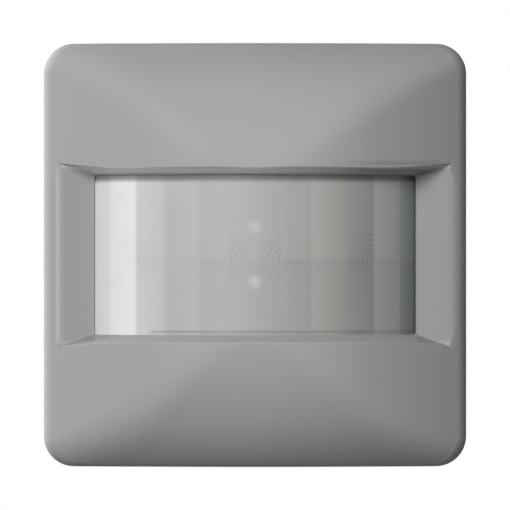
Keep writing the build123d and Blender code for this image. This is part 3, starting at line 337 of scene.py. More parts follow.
class Graph:
    """A node tree whose nodes all come from one method."""

    def __init__(self, tree: bpy.types.NodeTree) -> None:
        """Empties the tree.

        Args:
            tree: The tree of a material or of a world.
        """
        self.tree = tree
        tree.nodes.clear()

    def feed(self, target: bpy.types.NodeSocket, value: object) -> None:
        """Fills a socket.

        Args:
            target: The socket.
            value: A Wire or a socket that is linked to it, or a number, a vector or a colour for it.
        """
        source = value.socket if isinstance(value, Wire) else value
        if isinstance(source, bpy.types.NodeSocket):
            self.tree.links.new(source, target)
        elif target.type == "RGBA":
            target.default_value = (*source, 1.0)
        else:
            target.default_value = source

    def node(
        self,
        kind: str,
        settings: Mapping[str, object] | None = None,
        inputs: Mapping[str | int, object] | None = None,
    ) -> bpy.types.Node:
        """Adds any node.

        Args:
            kind: Blender's node type.
            settings: Properties that are set first. The name stops holds a ramp's positions and colours.
            inputs: What goes into each socket, by name or number: a Wire, a socket, a number or numbers.

        Returns:
            The node.
        """
        made = self.tree.nodes.new(kind)
        for key, value in (settings or {}).items():
            if key == "stops":
                elements = made.color_ramp.elements
                while len(elements) < len(value):
                    elements.new(1.0)
                for element, (position, colour) in zip(elements, value):
                    element.position = position
                    element.color = (*colour, 1.0)
            else:
                setattr(made, key, value)
        for key, value in (inputs or {}).items():
            self.feed(made.inputs[key], value)
        return made

    def shown(self) -> Wire:
        """Tells what is seen from what only lights.

        Returns:
            1 for rays of the camera, of mirrors and through glass, and otherwise 0.
        """
        path = self.node("ShaderNodeLightPath")
        seen = Wire(self, path.outputs["Is Camera Ray"])
        for kind in ("Is Glossy Ray", "Is Transmission Ray"):
            seen = seen.higher(Wire(self, path.outputs[kind]))
        return seen


class SurfaceGraph(Graph):
    """The node tree of one material, with a Principled shader at its end."""

    def __init__(self, name: str) -> None:
        """Makes the material and its shader.

        Args:
            name: The material's name.
        """
        self.material = bpy.data.materials.new(name)
        self.material.use_nodes = True
        super().__init__(self.material.node_tree)
        self.shader = self.node("ShaderNodeBsdfPrincipled")
        self.node("ShaderNodeOutputMaterial", {}, {"Surface": self.shader.outputs[0]})
        self.place = self.node("ShaderNodeTexCoord").outputs["Object"]

    def set(self, **inputs: object) -> None:
        """Fills sockets of the shader. An underscore in a name stands for a space."""
        for key, value in inputs.items():
            self.feed(self.shader.inputs[key.replace("_", " ")], value)

    def noise(
        self, pitch: float, detail: float = 2.0, vector: bpy.types.NodeSocket | None = None
    ) -> Wire:
        """Noise over a vector, by default over the object coordinates.

        Args:
            pitch: About how wide its lumps are, in metres.
            detail: How many finer octaves it has.
            vector: The place at which it is read.

        Returns:
            A number around one half.
        """
        inputs = {"Vector": vector or self.place, "Scale": 1.0 / pitch, "Detail": detail}
        return Wire(self, self.node("ShaderNodeTexNoise", {}, inputs).outputs[0])

    def cells(self, pitch: float) -> Wire:
        """Distance to the nearest of scattered points about one pitch apart, in metres."""
        inputs = {"Vector": self.place, "Scale": 1.0 / pitch}
        return Wire(self, self.node("ShaderNodeTexVoronoi", {}, inputs).outputs[0])

    def stretched(self, factors: Place) -> bpy.types.NodeSocket:
        """Object coordinates, each multiplied by its factor."""
        settings = {"operation": "MULTIPLY"}
        return self.node("ShaderNodeVectorMath", settings, {0: self.place, 1: factors}).outputs[0]

    def axes(self, vector: bpy.types.NodeSocket | None = None) -> tuple[Wire, Wire, Wire]:
        """The three parts of a vector, by default of the object coordinates."""
        split = self.node("ShaderNodeSeparateXYZ", {}, {0: vector or self.place})
        return tuple(Wire(self, part) for part in split.outputs)

    def mix(self, share: Wire, first: Paint, second: Paint) -> bpy.types.NodeSocket:
        """A colour between two colours. Inputs 6 and 7 and output 2 of the node are its colour ones."""
        node = self.node("ShaderNodeMix", {"data_type": "RGBA"}, {0: share, 6: first, 7: second})
        return node.outputs[2]

    def ramp(self, share: Wire, stops: Sequence[tuple[float, Colour]]) -> bpy.types.NodeSocket:
        """A colour read from stops along the share."""
        return self.node("ShaderNodeValToRGB", {"stops": stops}, {0: share}).outputs[0]

    def scaled(self, colour: bpy.types.NodeSocket, factor: Wire) -> bpy.types.NodeSocket:
        """The colour with all its parts multiplied by one factor, which is input 3 of the node."""
        return self.node("ShaderNodeVectorMath", {"operation": "SCALE"}, {0: colour, 3: factor}).outputs[0]

    def relief(self, height: Wire, depth: float) -> None:
        """Bump of that depth in metres, fed to the shader's normal."""
        inputs = {"Height": height, "Distance": depth, "Strength": 1.0}
        self.set(Normal=self.node("ShaderNodeBump", {}, inputs).outputs[0])


def shade(colour: Colour, factor: float) -> Colour:
    """The colour made lighter or darker by a factor, within 0 and 1."""
    return tuple(min(1.0, max(0.0, part * factor)) for part in colour)


# Finishes


class Finish(Protocol):
    """What makes one material."""

    def build(self, name: str) -> bpy.types.Material:
        """The material under that name."""


class MetalTexture(Enum):
    """How a metal surface was made: its marks' pitch in metres, detail and stretch along each axis."""

    ROLLED = (0.0002, 3.0, (0.06, 1.0, 1.0))
    TURNED = (0.00012, 2.0, (0.3, 1.6, 0.3))
    TUMBLED = (0.0004, 0.0, (1.0, 1.0, 1.0))


@dataclass(frozen=True)
class MouldedPlastic:
    """Injection-moulded plastic with a fine eroded grain and slight flow clouds.

    Attributes:
        colour: Its linear colour.
        roughness: Its mean roughness.
        grain: Pitch of the mould's grain, in metres.
        depth: Depth of that grain, in metres.
        clouding: How much the colour wanders over the part.
        cloud_pitch: Width of the flow clouds, in metres.
        grain_share: Share of the grain in the colour. The rest is the clouds'.
        roughness_spread: How far the grain moves the roughness.
        gloss: Specular level.
    """

    colour: Colour
    roughness: float = 0.45
    grain: float = 0.00022
    depth: float = 0.000006
    clouding: float = 0.03
    cloud_pitch: float = 0.009
    grain_share: float = 0.3
    roughness_spread: float = 0.12
    gloss: float = 0.4

    def build(self, name: str) -> bpy.types.Material:
        """Makes the material.

        Args:
            name: The material's name.

        Returns:
            The material.
        """
        g = SurfaceGraph(name)
        clouds = g.noise(self.cloud_pitch)
        grain = g.noise(self.grain, 3.0)
        dark, light = shade(self.colour, 1 - self.clouding), shade(self.colour, 1 + self.clouding)
        g.set(
            Base_Color=g.mix(clouds.blended(grain, self.grain_share), dark, light),
            Roughness=self.roughness + grain.spread(self.roughness_spread),
            Specular_IOR_Level=self.gloss,
        )
        g.relief(grain + clouds * 0.5, self.depth)
        return g.material


@dataclass(frozen=True)
class BareMetal:
    """Plated or bare metal.

    Attributes:
        colour: Its linear colour.
        roughness: Its mean roughness.
        texture: How its surface was made.
        tarnish: How dark its stains are.
        stain_pitch: Width of the stains, in metres.
        stain_spread: How far the stains move the roughness.
        grain_spread: How far the grain moves the roughness.
        grain_depth: Depth of the grain, in metres.
    """

    colour: Colour
    roughness: float = 0.32
    texture: MetalTexture = MetalTexture.ROLLED
    tarnish: float = 0.14
    stain_pitch: float = 0.004
    stain_spread: float = 0.2
    grain_spread: float = 0.1
    grain_depth: float = 0.000004

    def grain(self, g: SurfaceGraph) -> Wire:
        """The surface's marks: long ones if rolled, rings if turned, and dents if tumbled.

        Args:
            g: The material's graph.

        Returns:
            Their height.
        """
        pitch, detail, stretch = self.texture.value
        if self.texture is MetalTexture.TUMBLED:
            return g.cells(pitch)
        return g.noise(pitch, detail, g.stretched(stretch))

    def build(self, name: str) -> bpy.types.Material:
        """Makes the material.

        Args:
            name: The material's name.

        Returns:
            The material.
        """
        g = SurfaceGraph(name)
        grain = self.grain(g)
        stain = g.noise(self.stain_pitch, 4.0)
        g.set(
            Base_Color=g.mix(stain, shade(self.colour, 1 - self.tarnish), self.colour),
            Metallic=1.0,
            Roughness=self.roughness + stain.spread(self.stain_spread) + grain.spread(self.grain_spread),
        )
        g.relief(grain, self.grain_depth)
        return g.material


@dataclass(frozen=True)
class CircuitBoard:
    """Glass-fibre laminate under solder mask, with copper tracks.

    Attributes:
        mask: Colour of the mask over bare laminate.
        track: Colour of the mask over copper.
        pitch: Spacing of the tracks, in metres.
        track_level: The height of the wave above which a track stands. It sets the track's width.
        region: Width of the regions with level or upright tracks, in metres.
        weave_pitch: Width of the glass cloth's weave, in metres.
        weave_share: Share of the weave in the relief.
        depth: Depth of the relief, in metres.
    """

    mask: Colour = (0.012, 0.09, 0.03)
    track: Colour = (0.03, 0.17, 0.06)
    pitch: float = 0.0016
    track_level: float = 0.35
    region: float = 0.006
    weave_pitch: float = 0.0004
    weave_share: float = 0.2
    depth: float = 0.00003

    def build(self, name: str) -> bpy.types.Material:
        """Tracks are the bands of two crossed waves that a coarse noise picks between.

        Args:
            name: The material's name.

        Returns:
            The material.
        """
        g = SurfaceGraph(name)
        x, _, z = g.axes()
        turn = 2.0 * math.pi / self.pitch
        level = (z * turn).sine().above(self.track_level)
        upright = (x * turn).sine().above(self.track_level)
        pick = g.noise(self.region, 0.0).above(0.5)
        tracks = level * pick + upright * (1 - pick)
        weave = g.noise(self.weave_pitch)
        g.set(
            Base_Color=g.mix(tracks, self.mask, g.mix(weave, self.track, shade(self.track, 0.8))),
            Roughness=0.3 + weave * 0.15,
            Specular_IOR_Level=0.5,
        )
        g.relief(tracks.blended(weave, self.weave_share), self.depth)
        return g.material


@dataclass(frozen=True)
class DippedCoat:
    """A lacquer, sleeve or potting resin with a gloss skin and slight waves.

    Attributes:
        colour: Its linear colour.
        roughness: Its roughness.
        wave: Pitch of the waves, in metres.
        coat: Strength of the clear skin.
        speck_pitch: Width of the specks, in metres.
        depth: Depth of the waves, in metres.
    """

    colour: Colour
    roughness: float = 0.25
    wave: float = 0.0016
    coat: float = 0.3
    speck_pitch: float = 0.0003
    depth: float = 0.00004

    def build(self, name: str) -> bpy.types.Material:
        """Makes the material.

        Args:
            name: The material's name.

        Returns:
            The material.
        """
        g = SurfaceGraph(name)
        waves = g.noise(self.wave)
        specks = g.noise(self.speck_pitch)
        g.set(
            Base_Color=g.mix(waves, shade(self.colour, 0.85), shade(self.colour, 1.1)),
            Roughness=self.roughness + specks * 0.08,
            Coat_Weight=self.coat,
        )
        g.relief(waves + specks * 0.1, self.depth)
        return g.material


@dataclass(frozen=True)
class WoundWire:
    """Enamelled wire in close turns, as bands along the winding's axis.

    Attributes:
        colour: The enamel's colour over copper.
        pitch: Spacing of the turns, in metres.
        gap_shade: Colour between the turns, as a share of the enamel's.
        spread_pitch: Width of the enamel's paler patches, in metres.
        spread_share: Share of these patches in the colour.
    """

    colour: Colour = (0.72, 0.26, 0.08)
    pitch: float = 0.00018
    gap_shade: float = 0.35
    spread_pitch: float = 0.001
    spread_share: float = 0.3

    def build(self, name: str) -> bpy.types.Material:
        """Each turn is one half wave of |sin(pi z / pitch)|.

        Args:
            name: The material's name.

        Returns:
            The material.
        """
        g = SurfaceGraph(name)
        _, _, z = g.axes()
        turns = abs((z * (math.pi / self.pitch)).sine())
        spread = g.noise(self.spread_pitch)
        g.set(
            Base_Color=g.mix(
                turns.blended(spread, self.spread_share), shade(self.colour, self.gap_shade), self.colour
            ),
            Metallic=0.85,
            Roughness=0.3 + spread * 0.1,
        )
        g.relief(turns, self.pitch * 0.4)
        return g.material


@dataclass(frozen=True)
class SinteredBlock:
    """Ceramic, ferrite or silicon with a dense speckle.

    Attributes:
        colour: Its linear colour.
        roughness: Its roughness.
        metallic: How metallic it looks.
        speck_pitch: Spacing of the specks, in metres.
        cloud_pitch: Width of the clouds, in metres.
        roughness_spread: How far the specks move the roughness.
        depth: Depth of the specks, in metres.
    """

    colour: Colour
    roughness: float = 0.5
    metallic: float = 0.0
    speck_pitch: float = 0.00016
    cloud_pitch: float = 0.002
    roughness_spread: float = 0.15
    depth: float = 0.00001

    def build(self, name: str) -> bpy.types.Material:
        """Makes the material.

        Args:
            name: The material's name.

        Returns:
            The material.
        """
        g = SurfaceGraph(name)
        specks = g.cells(self.speck_pitch)
        clouds = g.noise(self.cloud_pitch)
        g.set(
            Base_Color=g.mix(specks.blended(clouds, 0.5), shade(self.colour, 0.8), shade(self.colour, 1.15)),
            Roughness=self.roughness + specks.spread(self.roughness_spread),
            Metallic=self.metallic,
        )
        g.relief(specks, self.depth)
        return g.material


@dataclass(frozen=True)
class CoverPlastic:
    """The satin grey plastic of the front cover, with painted light and shade in and round its recess.

    Its lengths are in millimetres from the cover's middle, if nothing else is said.

    Attributes:
        colour: Its linear colour.
        roughness: Its mean roughness.
        roughness_spread: How far the grain moves the roughness.
        cloud_pitch: Width of the faint clouds, in metres.
        grain_pitch: Width of the grain, in metres.
        wing_start: Where the recess's side faces start.
        wing_end: Where they end.
        wing_half_height: Half their height.
        wing_blend: Width over which their shade comes in.
        wing_shade: How much darker the painted shade in the recess makes them.
        edge_light: How much lighter the painted highlight makes the left side face's outer edge.
        edge_x: Where that edge runs, to the left.
        edge_core: Half the width of the edge's lightest part.
        edge_width: Half the width of all of the edge's light.
        edge_half_height: Half the edge's height.
        slope_foot: Where the recess's upper slope starts, at the window.
        slope_height: How far the slope reaches above its foot in the middle.
        slope_growth: How much further it reaches, for each fourth power of a millimetre sideways.
        slope_blend: Height over which its light ends.
        slope_level: How light the slope is at its foot, of its full light.
        slope_gain: How much lighter it gets for each millimetre up.
        mitre_slope: Sideways run of the slope's lower corners for each millimetre up.
        mitre_offset: What that run starts at.
        visor_light: How much lighter the painted light makes the upper slope.
        visor_fade: How fast that lightness fades to the right, for each squared millimetre.
        fade_start: Where it starts to fade.
        right_light: Share of the painted light that comes back at the slope's right end.
        right_start: Where the changes on the right start.
        right_full: Where they have come in.
        brow_shade: How much darker the painted shadow makes the face just above the recess, on the right.
        brow_low: Where that dark band starts, above the slope's foot.
        brow_high: Where it ends, above the slope's foot.
        brow_sag: How much higher the band starts, for each squared millimetre sideways.
        brow_end: Where the band runs out.
        crease_z: How far below the middle the fine line under the recess runs.
        crease_half: Half the fine line's width.
        crease_end: Where the line ends.
        crease_depth: The line's depth, in metres.
        grain_relief: The grain's depth as a share of the line's.
    """

    colour: Colour = (0.385, 0.385, 0.383)
    roughness: float = 0.65
    roughness_spread: float = 0.06
    cloud_pitch: float = 0.018
    grain_pitch: float = 0.00016
    wing_start: float = 23.6
    wing_end: float = 29.4
    wing_half_height: float = 13.2
    wing_blend: float = 0.6667
    wing_shade: float = 0.175
    edge_light: float = 0.24
    edge_x: float = 29.35
    edge_core: float = 0.0769
    edge_width: float = 0.4615
    edge_half_height: float = 13.3
    slope_foot: float = WINDOW_HALF_HEIGHT
    slope_height: float = 1.1
    slope_growth: float = 8.5e-7
    slope_blend: float = 0.286
    slope_level: float = 0.8
    slope_gain: float = 0.15
    mitre_slope: float = 3.2
    mitre_offset: float = 13.6
    visor_light: float = 1.1
    visor_fade: float = 0.0017
    fade_start: float = -6.0
    right_light: float = 0.65
    right_start: float = 10.0
    right_full: float = 19.09
    brow_shade: float = 0.26
    brow_low: float = 1.25
    brow_high: float = 2.45
    brow_sag: float = 0.0004
    brow_end: float = 28.8
    crease_z: float = 14.8
    crease_half: float = 0.1111
    crease_end: float = 29.0
    crease_depth: float = 0.00002
    grain_relief: float = 0.08

    def wings(self, x: Wire, z: Wire) -> Wire:
        """Finds the recess's side faces, which take painted shade.

        Args:
            x: Distance to the right.
            z: Distance up.

        Returns:
            1 on them, with soft edges.
        """
        away = abs(x)
        across = away.fade(self.wing_start, self.wing_start + self.wing_blend)
        across = across * away.fade(self.wing_end, self.wing_end - 1.0)
        return across * abs(z).fade(self.wing_half_height, self.wing_half_height - self.wing_blend)

    def left_edge_highlight(self, x: Wire, z: Wire) -> Wire:
        """1 along the outer edge of the left side face, where a highlight is painted."""
        near = abs(x + self.edge_x).fade(self.edge_width, self.edge_core)
        return near * abs(z).fade(self.edge_half_height, self.edge_half_height - 0.5)

    def upper_slope_light(self, x: Wire, z: Wire) -> Wire:
        """Where painted light makes the recess's upper slope lighter.

        Formula: 1 between the slope's foot and a bound that grows with x^4, and above the mitres
        that it has with the side faces. This times the light's fade to the right, 1 - k (x - x0)^2,
        with a weaker light that comes back at the slope's right end.

        Args:
            x: Distance to the right.
            z: Distance up.

        Returns:
            The share of the painted light.
        """
        away = abs(x)
        square = away * away
        rise = z - self.slope_foot
        drawn = rise - square * square * self.slope_growth
        bound = drawn.fade(self.slope_height, self.slope_height - self.slope_blend)
        mitre = (z * self.mitre_slope - away).fade(self.mitre_offset, self.mitre_offset + 0.5)
        past = (x - self.fade_start).higher(0.0)
        level = (1 - past * past * self.visor_fade).clipped() * (rise * self.slope_gain + self.slope_level)
        right = x.fade(self.right_start, self.right_full) * rise.fade(0.75, 1.25) * self.right_light
        return rise.fade(0.0, 0.4) * bound * mitre * level.higher(right)

    def brow(self, x: Wire, z: Wire) -> Wire:
        """1 in the band just above the recess that a painted shadow darkens on the right.

        Formula: it starts sharply at a height of low + k x^2 above the slope's foot, fades out
        towards its upper end, and runs out sideways.

        Args:
            x: Distance to the right.
            z: Distance up.

        Returns:
            The share of the painted shadow.
        """
        away = abs(x)
        rise = z - self.slope_foot
        band = (rise - away * away * self.brow_sag).fade(self.brow_low, self.brow_low + 0.125)
        band = band * rise.fade(self.brow_high, self.brow_high - 1.0)
        run_out = away.fade(self.brow_end, self.brow_end - 2.0)
        return x.fade(self.right_start, self.right_full) * run_out * band

    def crease(self, x: Wire, z: Wire) -> Wire:
        """1 in the fine line under the recess."""
        line = abs(z + self.crease_z).fade(self.crease_half, 0.0)
        return line * abs(x).fade(self.crease_end, self.crease_end - 1.0)

    def build(self, name: str) -> bpy.types.Material:
        """A very fine grain over faint clouds, so that broad surfaces stay calm.

        Args:
            name: The material's name.

        Returns:
            The material.
        """
        g = SurfaceGraph(name)
        clouds = g.noise(self.cloud_pitch)
        grain = g.noise(self.grain_pitch)
        x, _, z = g.axes(g.stretched((1.0 / MM, 1.0 / MM, 1.0 / MM)))
        paint = g.mix(clouds.blended(grain, 0.4), shade(self.colour, 0.98), shade(self.colour, 1.02))
        # Painted light on the upper slope and the left side face's outer edge; painted shade on the side
        # faces and a painted shadow above the recess on the right.
        light = 1 + self.upper_slope_light(x, z) * self.visor_light + self.left_edge_highlight(x, z) * self.edge_light
        dark = (1 - self.wings(x, z) * self.wing_shade) * (1 - self.brow(x, z) * self.brow_shade)
        g.set(
            Base_Color=g.scaled(paint, light * dark),
            Roughness=self.roughness + grain.spread(self.roughness_spread),
            Specular_IOR_Level=0.02,
        )
        g.relief(grain * self.grain_relief - self.crease(x, z), self.crease_depth)
        return g.material


@dataclass(frozen=True)
class ZoneArc:
    """Fresnel zones of a segment, as arcs about a point on one of its joints.

    Attributes:
        angle: Where the arcs are centred, in degrees about the lens axis.
        side: 1 where they open to the right, -1 to the left.
        reach: Radius at which they have faded out, in millimetres.
        depth: How much lighter and darker they are than the lens.
    """

    angle: float
    side: int
    reach: float
    depth: float


@dataclass(frozen=True)
class LensPlastic:
    """Milky polyethylene whose Fresnel segments show as bands, joints and faint arcs, under painted
    reflection, highlights and shade.

    Its lengths are in millimetres from the window's middle, if nothing else is said.

    Attributes:
        half_angle: Half the window's angle about the lens axis, in degrees.
        half_height: Half the window's height.
        arc: Length along the surface for each degree.
        joints: Angles of the joints between segments, on both sides, in degrees.
        joint_half: Half a joint's width, in degrees.
        joint_light: How much lighter a joint is.
        tones: How pale each segment is, from left to right; the two left ones carry a painted reflection of
            the light from the left.
        fall: How much each segment darkens from its left edge to its right one, as painted shade.
        tints: Colour casts of some segments, by their number from the left.
        blur: Width over which one segment's tone runs into the next, in degrees to each side.
        row_split: Height of the joint between the two rows.
        row_blend: Height to each side of it over which one row runs into the other.
        lower_tone: How pale the lower row is against the upper one.
        lower_start: Where the lower row's darker tone starts, as a share of the width.
        lower_full: Where it has come in.
        zone_pitch: Spacing of the arcs.
        zone_level: What is taken off the arcs' wave, so that they darken more than they lighten, as painted
            shade in the arcs.
        zone_lower: Strength of the arcs in the lower row.
        arcs: The arcs that show.
        shade_patches: Centre angle, half width and depth of the darker patches under the split.
        shade_patch_height: How far these patches reach down.
        spots: Height and strength of the two painted highlight spots in the middle.
        spot_square: Square of a spot's radius.
        glow_half: Half the width of the painted highlight line through the spots.
        glow_bottom: Where that line starts.
        glow_top: Where it ends.
        glow: Its strength.
        top_shade: How dark the painted shadow makes the lens under the recess's upper edge.
        top_start: How far below the window's top that shadow starts.
        top_blend: Height over which it comes in.
        bottom_shade: How dark the painted shade line along the lower edge is.
        bottom_rise: How far above the window's bottom that line runs.
        bottom_half: Half the width of all of that line.
        bottom_core: Half the width of its darkest part.
        bottom_end: Where the line ends on the left.
        fine_pitch: Width of the fine grain, in metres.
        cloud_pitch: Width of the clouds in the milky plastic, in metres.
        depth: Depth of the relief, in metres.
    """

    half_angle: float = WINDOW_HALF_ANGLE
    half_height: float = LENS_HALF_SHOWN
    arc: float = 0.4695
    joints: tuple[float, ...] = (8.5, 18.0, 29.6, 41.0, 53.0)
    joint_half: float = 0.3333
    joint_light: float = 0.025
    tones: tuple[float, ...] = (0.80, 0.87, 0.62, 0.465, 0.42, 0.405, 0.39, 0.415, 0.34, 0.415, 0.32)
    fall: tuple[float, ...] = (0.0, 0.04, 0.14, 0.0, 0.01, 0.03, 0.04, 0.12, 0.08, 0.02, 0.25)
    tints: tuple[tuple[int, Colour], ...] = (
        (2, (0.99, 1.0, 1.01)),
        (6, (1.01, 1.0, 0.975)),
        (7, (1.015, 1.0, 0.965)),
        (8, (0.985, 1.0, 1.0)),
        (10, (0.95, 1.01, 1.04)),
    )
    blur: float = 0.8
    row_split: float = -0.6
    row_blend: float = 0.1667
    lower_tone: float = 0.93
    lower_start: float = 0.1364
    lower_full: float = 0.5909
    zone_pitch: float = 0.78
    zone_level: float = 1.1
    zone_lower: float = 0.4
    arcs: tuple[ZoneArc, ...] = (
        ZoneArc(-41.0, 1, 3.0, 0.05),
        ZoneArc(-8.5, 1, 3.7, 0.075),
        ZoneArc(8.5, -1, 3.7, 0.075),
        ZoneArc(41.0, -1, 5.2, 0.10),
        ZoneArc(53.0, -1, 2.7, 0.06),
    )
    shade_patches: tuple[tuple[float, float, float], ...] = (
        (-35.0, 2.4, 0.02),
        (-13.0, 2.1, 0.03),
        (13.2, 2.1, 0.03),
        (22.0, 2.4, 0.03),
        (35.3, 2.6, 0.06),
        (48.5, 2.0, 0.04),
    )
    shade_patch_height: float = 1.9
    spots: tuple[tuple[float, float], ...] = ((4.2, 0.24), (-3.95, 0.36))
    spot_square: float = 2.2
    glow_half: float = 0.1111
    glow_bottom: float = -10.6
    glow_top: float = 4.0
    glow: float = 0.06
    top_shade: float = 0.62
    top_start: float = 1.15
    top_blend: float = 0.625
    bottom_shade: float = 0.24
    bottom_rise: float = 0.45
    bottom_half: float = 0.35
    bottom_core: float = 0.1
    bottom_end: float = -17.0
    fine_pitch: float = 0.0007
    cloud_pitch: float = 0.004
    depth: float = 0.00002

    def segment_stops(self) -> list[tuple[float, Colour]]:
        """Two ramp stops for each segment, close to its two joints.

        Returns:
            Position and colour of each stop.
        """
        edges = [-self.half_angle, *(-a for a in reversed(self.joints)), *self.joints, self.half_angle]
        tints = dict(self.tints)
        stops = []
        for k, tone in enumerate(self.tones):
            tint = tints.get(k, WHITE)
            ends = ((edges[k] + self.blur, 1.0), (edges[k + 1] - self.blur, 1.0 - self.fall[k]))
            for place, factor in ends:
                share = 0.5 + place / (2.0 * self.half_angle)
                stops.append((share, tuple(tone * factor * part for part in tint)))
        return stops

    def joint_lines(self, angle: Wire) -> Wire:
        """1 on each joint between two segments, at the angles on both sides."""
        lines = [abs(abs(angle) - place).fade(self.joint_half, 0.0) for place in self.joints]
        return reduce(Wire.higher, lines)

    def zone(self, mark: ZoneArc, across: Wire, rise: Wire, upper: Wire) -> Wire:
        """One set of arcs.

        Formula: (sin(2 pi r / pitch) - level) times the root of 1 - r / reach, with r the distance
        to the arcs' centre, on one side of the joint, and weaker in the lower row.

        Args:
            mark: The arcs.
            across: Distance to the right along the surface.
            rise: Height above the split.
            upper: 1 in the upper row.

        Returns:
            How much lighter the surface is; mostly below zero, where the arcs' painted shade darkens it.
        """
        out = (across - mark.angle * self.arc) * float(mark.side)
        radius = (out * out + rise * rise).root()
        fade = radius.fade(mark.reach, 0.0).root() * (out * 6.0).clipped()
        wave = (radius * (2.0 * math.pi / self.zone_pitch)).sine()
        row = upper * (1.0 - self.zone_lower) + self.zone_lower
        # Taking the level off the wave paints shade into the arcs.
        return (wave - self.zone_level) * fade * row * mark.depth

    def shade_patch(self, shade_patch: tuple[float, float, float], across: Wire, rise: Wire) -> Wire:
        """One patch of painted shade.

        Formula: the root of 1 minus the square of its elliptic radius, times its depth.

        Args:
            shade_patch: Its centre angle, half width and depth.
            across: Distance to the right along the surface.
            rise: Height above the split.

        Returns:
            How much darker the surface is.
        """
        centre, half_width, depth = shade_patch
        out = (across - centre * self.arc) * (1.0 / half_width)
        down = rise * (1.0 / self.shade_patch_height)
        return (1 - out * out - down * down).clipped().root() * depth

    def middle_light(self, across: Wire, height: Wire) -> Wire:
        """The painted highlights in the middle: a pale upright line and its two spots.

        Formula: a spot is its strength times (1 - r^2 / R^2)^2, with R^2 the spot's square.

        Args:
            across: Distance to the right along the surface.
            height: Height above the window's middle.

        Returns:
            How much lighter the surface is.
        """
        line = abs(across).fade(self.glow_half, 0.0) * height.fade(self.glow_bottom, self.glow_bottom + 1.0)
        light = line * height.fade(self.glow_top, self.glow_top - 1.0) * self.glow
        for place, strength in self.spots:
            off = height - place
            spot = (across * across + off * off).fade(self.spot_square, 0.0)
            light = light + spot * spot * strength
        return light

    def edge_shade(self, across: Wire, height: Wire) -> Wire:
        """The painted shadow under the window's upper edge and the painted shade line along its lower edge.

        Args:
            across: Distance to the right along the surface.
            height: Height above the window's middle.

        Returns:
            The share of the light that they leave.
        """
        start = self.half_height - self.top_start
        top = height.fade(start, start + self.top_blend)
        line = abs(height + (self.half_height - self.bottom_rise))
        bottom = line.fade(self.bottom_half, self.bottom_core)
        bottom = bottom * across.fade(self.bottom_end, self.bottom_end + 1.0)
        return (1 - top * self.top_shade) * (1 - bottom * self.bottom_shade)

    def build(self, name: str) -> bpy.types.Material:
        """One colour ramp over the angle, and one factor that carries all marks.

        Args:
            name: The material's name.

        Returns:
            The material.
        """
        g = SurfaceGraph(name)
        surface = g.node("ShaderNodeUVMap", {"uv_map": "surface"}).outputs[0]
        u, v, _ = g.axes(surface)
        angle = (u - 0.5) * (2.0 * self.half_angle)
        height = (v - 0.5) * (2.0 * self.half_height)
        across = angle * self.arc
        rise = height - self.row_split
        upper = rise.fade(-self.row_blend, self.row_blend)
        joint = self.joint_lines(angle)
        zones = sum(self.zone(mark, across, rise, upper) for mark in self.arcs)
        # Patches of painted shade under the split.
        dark = sum(self.shade_patch(shade_patch, across, rise) for shade_patch in self.shade_patches)
        fine = g.noise(self.fine_pitch)
        clouds = g.noise(self.cloud_pitch)
        lower = (1 - upper) * u.fade(self.lower_start, self.lower_full) * (1.0 - self.lower_tone)
        # Painted light and shade: the middle highlights, the arcs' and patches' darkening and the shadows
        # along the window's edges.
        factor = (1 - lower) * (1 + zones + self.middle_light(across, height))
        factor = factor * (1 - dark * (1 - upper)) * (1 + joint * self.joint_light)
        factor = factor * (0.965 + clouds * 0.07) * self.edge_shade(across, height)
        g.set(
            Base_Color=g.scaled(g.ramp(u, self.segment_stops()), factor),
            Roughness=0.34 + fine * 0.1,
            Specular_IOR_Level=0.25,
        )
        g.relief(joint * -0.4 + zones * 2.0 + fine * 0.1, self.depth)
        return g.material


FINISHES: dict[str, Finish] = {
    "cover_plastic": CoverPlastic(),
    "lens_plastic": LensPlastic(),
    "black_plastic": MouldedPlastic((0.02, 0.02, 0.021), roughness=0.5, clouding=0.1),
    "grey_plastic": MouldedPlastic((0.16, 0.16, 0.165), roughness=0.52),
    "white_plastic": MouldedPlastic((0.74, 0.73, 0.70), roughness=0.42),
    "dial_plastic": MouldedPlastic((0.80, 0.30, 0.03), roughness=0.38, depth=0.000003),
    "lever_plastic": MouldedPlastic((0.76, 0.16, 0.02), roughness=0.38, depth=0.000003),
    "board_laminate": CircuitBoard(),
    "zinc_steel": BareMetal((0.62, 0.63, 0.62), roughness=0.36),
    "spring_steel": BareMetal((0.50, 0.50, 0.51), roughness=0.28),
    "screw_steel": BareMetal((0.60, 0.60, 0.58), roughness=0.3, texture=MetalTexture.TURNED),
    "can_metal": BareMetal((0.66, 0.64, 0.60), roughness=0.25, texture=MetalTexture.TURNED),
    "relay_iron": BareMetal((0.48, 0.48, 0.48), roughness=0.42, texture=MetalTexture.TUMBLED),
    "contact_brass": BareMetal((0.80, 0.60, 0.26), roughness=0.26, tarnish=0.2),
    "filter_silicon": SinteredBlock((0.10, 0.10, 0.12), roughness=0.15, metallic=0.6),
    "chip_ceramic": SinteredBlock((0.50, 0.42, 0.30), roughness=0.45),
    "ferrite": SinteredBlock((0.03, 0.03, 0.032), roughness=0.5),
    "clear_epoxy": DippedCoat((0.06, 0.05, 0.05), roughness=0.12),
    "red_epoxy": DippedCoat((0.55, 0.03, 0.02), roughness=0.15),
    "chip_epoxy": MouldedPlastic((0.022, 0.022, 0.022), roughness=0.55, clouding=0.15),
    "capacitor_sleeve": DippedCoat((0.02, 0.03, 0.09), roughness=0.25),
    "trimmer_plastic": MouldedPlastic((0.05, 0.14, 0.42), roughness=0.3),
    "film_box": DippedCoat((0.50, 0.36, 0.05), roughness=0.3),
    "varistor_lacquer": DippedCoat((0.03, 0.09, 0.32), roughness=0.22),
    "copper_winding": WoundWire(),
}


